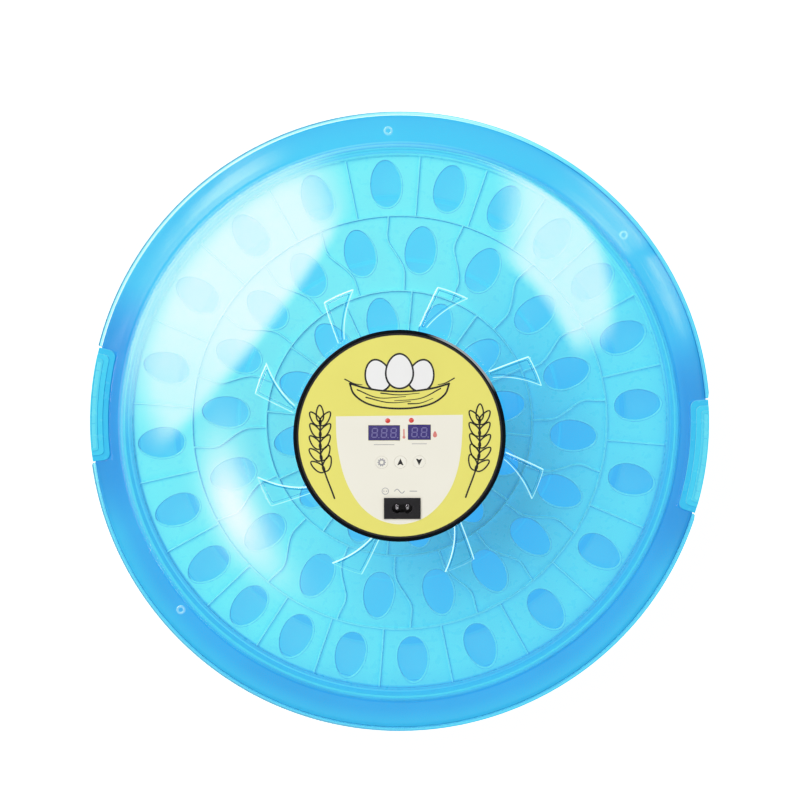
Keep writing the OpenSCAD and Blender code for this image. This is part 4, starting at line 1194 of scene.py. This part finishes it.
# ---------------------------------------------------------------- world
def studio():
    """White to the camera and, in reflections, a room with softboxes and strips. Each light is
    a product of ramps that bound it. Bearings and angles from straight up are in degrees."""
    w = Tree("studio", "worlds")
    direction = w.node("TexCoord").outputs["Generated"]
    x, y, z = w.axes(direction)
    bearing = w.bearing(x, y)
    # the same bearing running from -90 to 270
    turn = w.add(bearing, w.mul(w.math("LESS_THAN", bearing, -90.0), 360.0))
    from_up = w.math("DEGREES", w.math("ARCCOSINE", z))

    # large box behind the left of the object
    large = w.mul(w.ramp(w.dot(direction, (-0.80, 0.595, -0.073)), 0.565, 0.630),
                  w.ramp(turn, 101, 119),
                  w.fall(w.add(turn, w.ramp(from_up, 58, 72, to=(0, 14))), 181, 204),
                  w.ramp(turn, 150, 180, to=(1.0, 0.72)),
                  w.ramp(from_up, 65, 73, to=(1.0, 0.62)))
    # smaller box to the right, with a slanting lower edge
    edge = w.add(w.mul(w.sub(bearing, 13.0), 0.55), 57.0)
    small = w.mul(w.ramp(from_up, 46.0, 51.0), w.fall(w.sub(from_up, edge), -4.0, 3.0),
                  w.fall(w.sub(bearing, w.mul(from_up, 0.45)), 25, 38),
                  w.ramp(bearing, 14, 26))
    # small soft lamp at the front left
    lamp_at, lamp_up = 211.0, 50.5
    across = w.math("POWER", w.div(w.sub(turn, lamp_at), 19.0), 2.0)
    centre = w.add(w.mul(w.sub(turn, lamp_at), 0.13), lamp_up)
    upward = w.math("POWER", w.div(w.sub(from_up, centre), 6.0), 2.0)
    lamp = w.math("EXPONENT", w.mul(w.add(across, upward), -1.0))

    # narrow strips beside the camera, laid out on a level plane
    plane_height, plane_shift = 1.59, 0.128
    safe_z = w.math("MAXIMUM", z, 0.02)
    px = w.mul(w.div(x, safe_z), plane_height)
    py = w.add(w.mul(w.div(y, safe_z), plane_height), plane_shift)
    r = w.length(px, py)
    a = w.bearing(px, py)
    high = w.ramp(z, 0.90, 0.94)
    line = w.weighted("ADD", px, -0.839, py, 0.544)
    left_strip = w.mul(w.ramp(line, 0.243, 0.252, to=(1, 0.10)), w.fall(line, 0.252, 0.262),
                       w.ramp(a, 110, 124), w.fall(a, 140, 172),
                       w.ramp(r, 0.255, 0.266, to=(1.0, 0.55)), high)
    right_strip = w.add(
        w.mul(w.ramp(a, 15, 25), w.fall(a, 33.2, 34.6),
              w.ramp(r, 0.2510, 0.2560), w.fall(r, 0.2640, 0.2665), high),
        w.mul(w.ramp(a, 36.0, 38.0), w.fall(a, 44, 60),
              w.ramp(r, 0.255, 0.266, to=(0.30, 0.85)), high))

    lights = ((large, 6.9), (small, 5.6), (lamp, 8.6), (left_strip, 3.4), (right_strip, 2.5))
    room = w.ramp(z, 0.0, 0.9, to=(0.26, 0.28))
    total = w.add(*[w.mul(light, strength) for light, strength in lights], room)
    rays = w.node("LightPath").outputs
    level = w.switch(rays["Is Glossy Ray"], 0.30, total)
    level = w.switch(rays["Is Camera Ray"], level, 1.0)
    bright = w.mul(w.ramp(total, 0.8, 2.5), rays["Is Glossy Ray"])
    colour = w.mix(bright, (1.0, 1.0, 1.0), (1.0, 0.88, 0.95))
    background = w.node("Background", {"Color": colour, "Strength": level})
    return w.finish(background.outputs[0], "OutputWorld")


scene = bpy.context.scene
scene.world = studio()


# ---------------------------------------------------------------- lights
def area_light(name, location, size, power):
    """Rectangular lamp aimed at the middle of the object."""
    light = bpy.data.lights.new(name, "AREA")
    light.shape = "RECTANGLE"
    light.size, light.size_y = size
    light.energy = power
    o = bpy.data.objects.new(name, light)
    scene.collection.objects.link(o)
    o.location = location
    aim = Vector((0, 0, 0.08)) - Vector(location)
    o.rotation_euler = aim.to_track_quat("-Z", "Y").to_euler()
    o.visible_glossy = False


area_light("key", location=(-1.1, 1.0, 2.3), size=(1.8, 1.4), power=42)
area_light("fill", location=(1.6, 0.2, 2.0), size=(1.6, 1.6), power=17)
area_light("front", location=(0.1, -1.9, 1.5), size=(2.0, 1.0), power=12)

# ---------------------------------------------------------------- camera
TILT = rad(3.828)
TARGET = Vector((0.0004, 0, 0.081))
RISE, DISTANCE = 0.0216, 1.595      # along the camera's own up and backward axes

lens = bpy.data.cameras.new("camera")
lens.sensor_width = 36
lens.lens = 82.69
lens.clip_start = 0.05
camera = bpy.data.objects.new("camera", lens)
scene.collection.objects.link(camera)
camera_up = Vector((0, cos(TILT), -sin(TILT)))
camera_back = Vector((0, sin(TILT), cos(TILT)))
camera.location = TARGET + camera_up * RISE + camera_back * DISTANCE
camera.rotation_euler = (-TILT, 0, 0)
scene.camera = camera

# ---------------------------------------------------------------- tone curve
TONES = ((0.15, 0.24), (0.30, 0.48), (0.45, 0.715), (0.60, 0.895), (0.80, 0.975))   # in, out
view = scene.view_settings
view.view_transform = "Standard"
view.look = "None"
view.use_curve_mapping = True
mapping = view.curve_mapping
mapping.white_level = (1.6, 1.6, 1.6)
curve = mapping.curves[3]
while len(curve.points) > 2:
    curve.points.remove(curve.points[1])
curve.points[0].location = (0, 0)
curve.points[-1].location = (1, 1)
for tone in TONES:
    curve.points.new(*tone)
mapping.update()
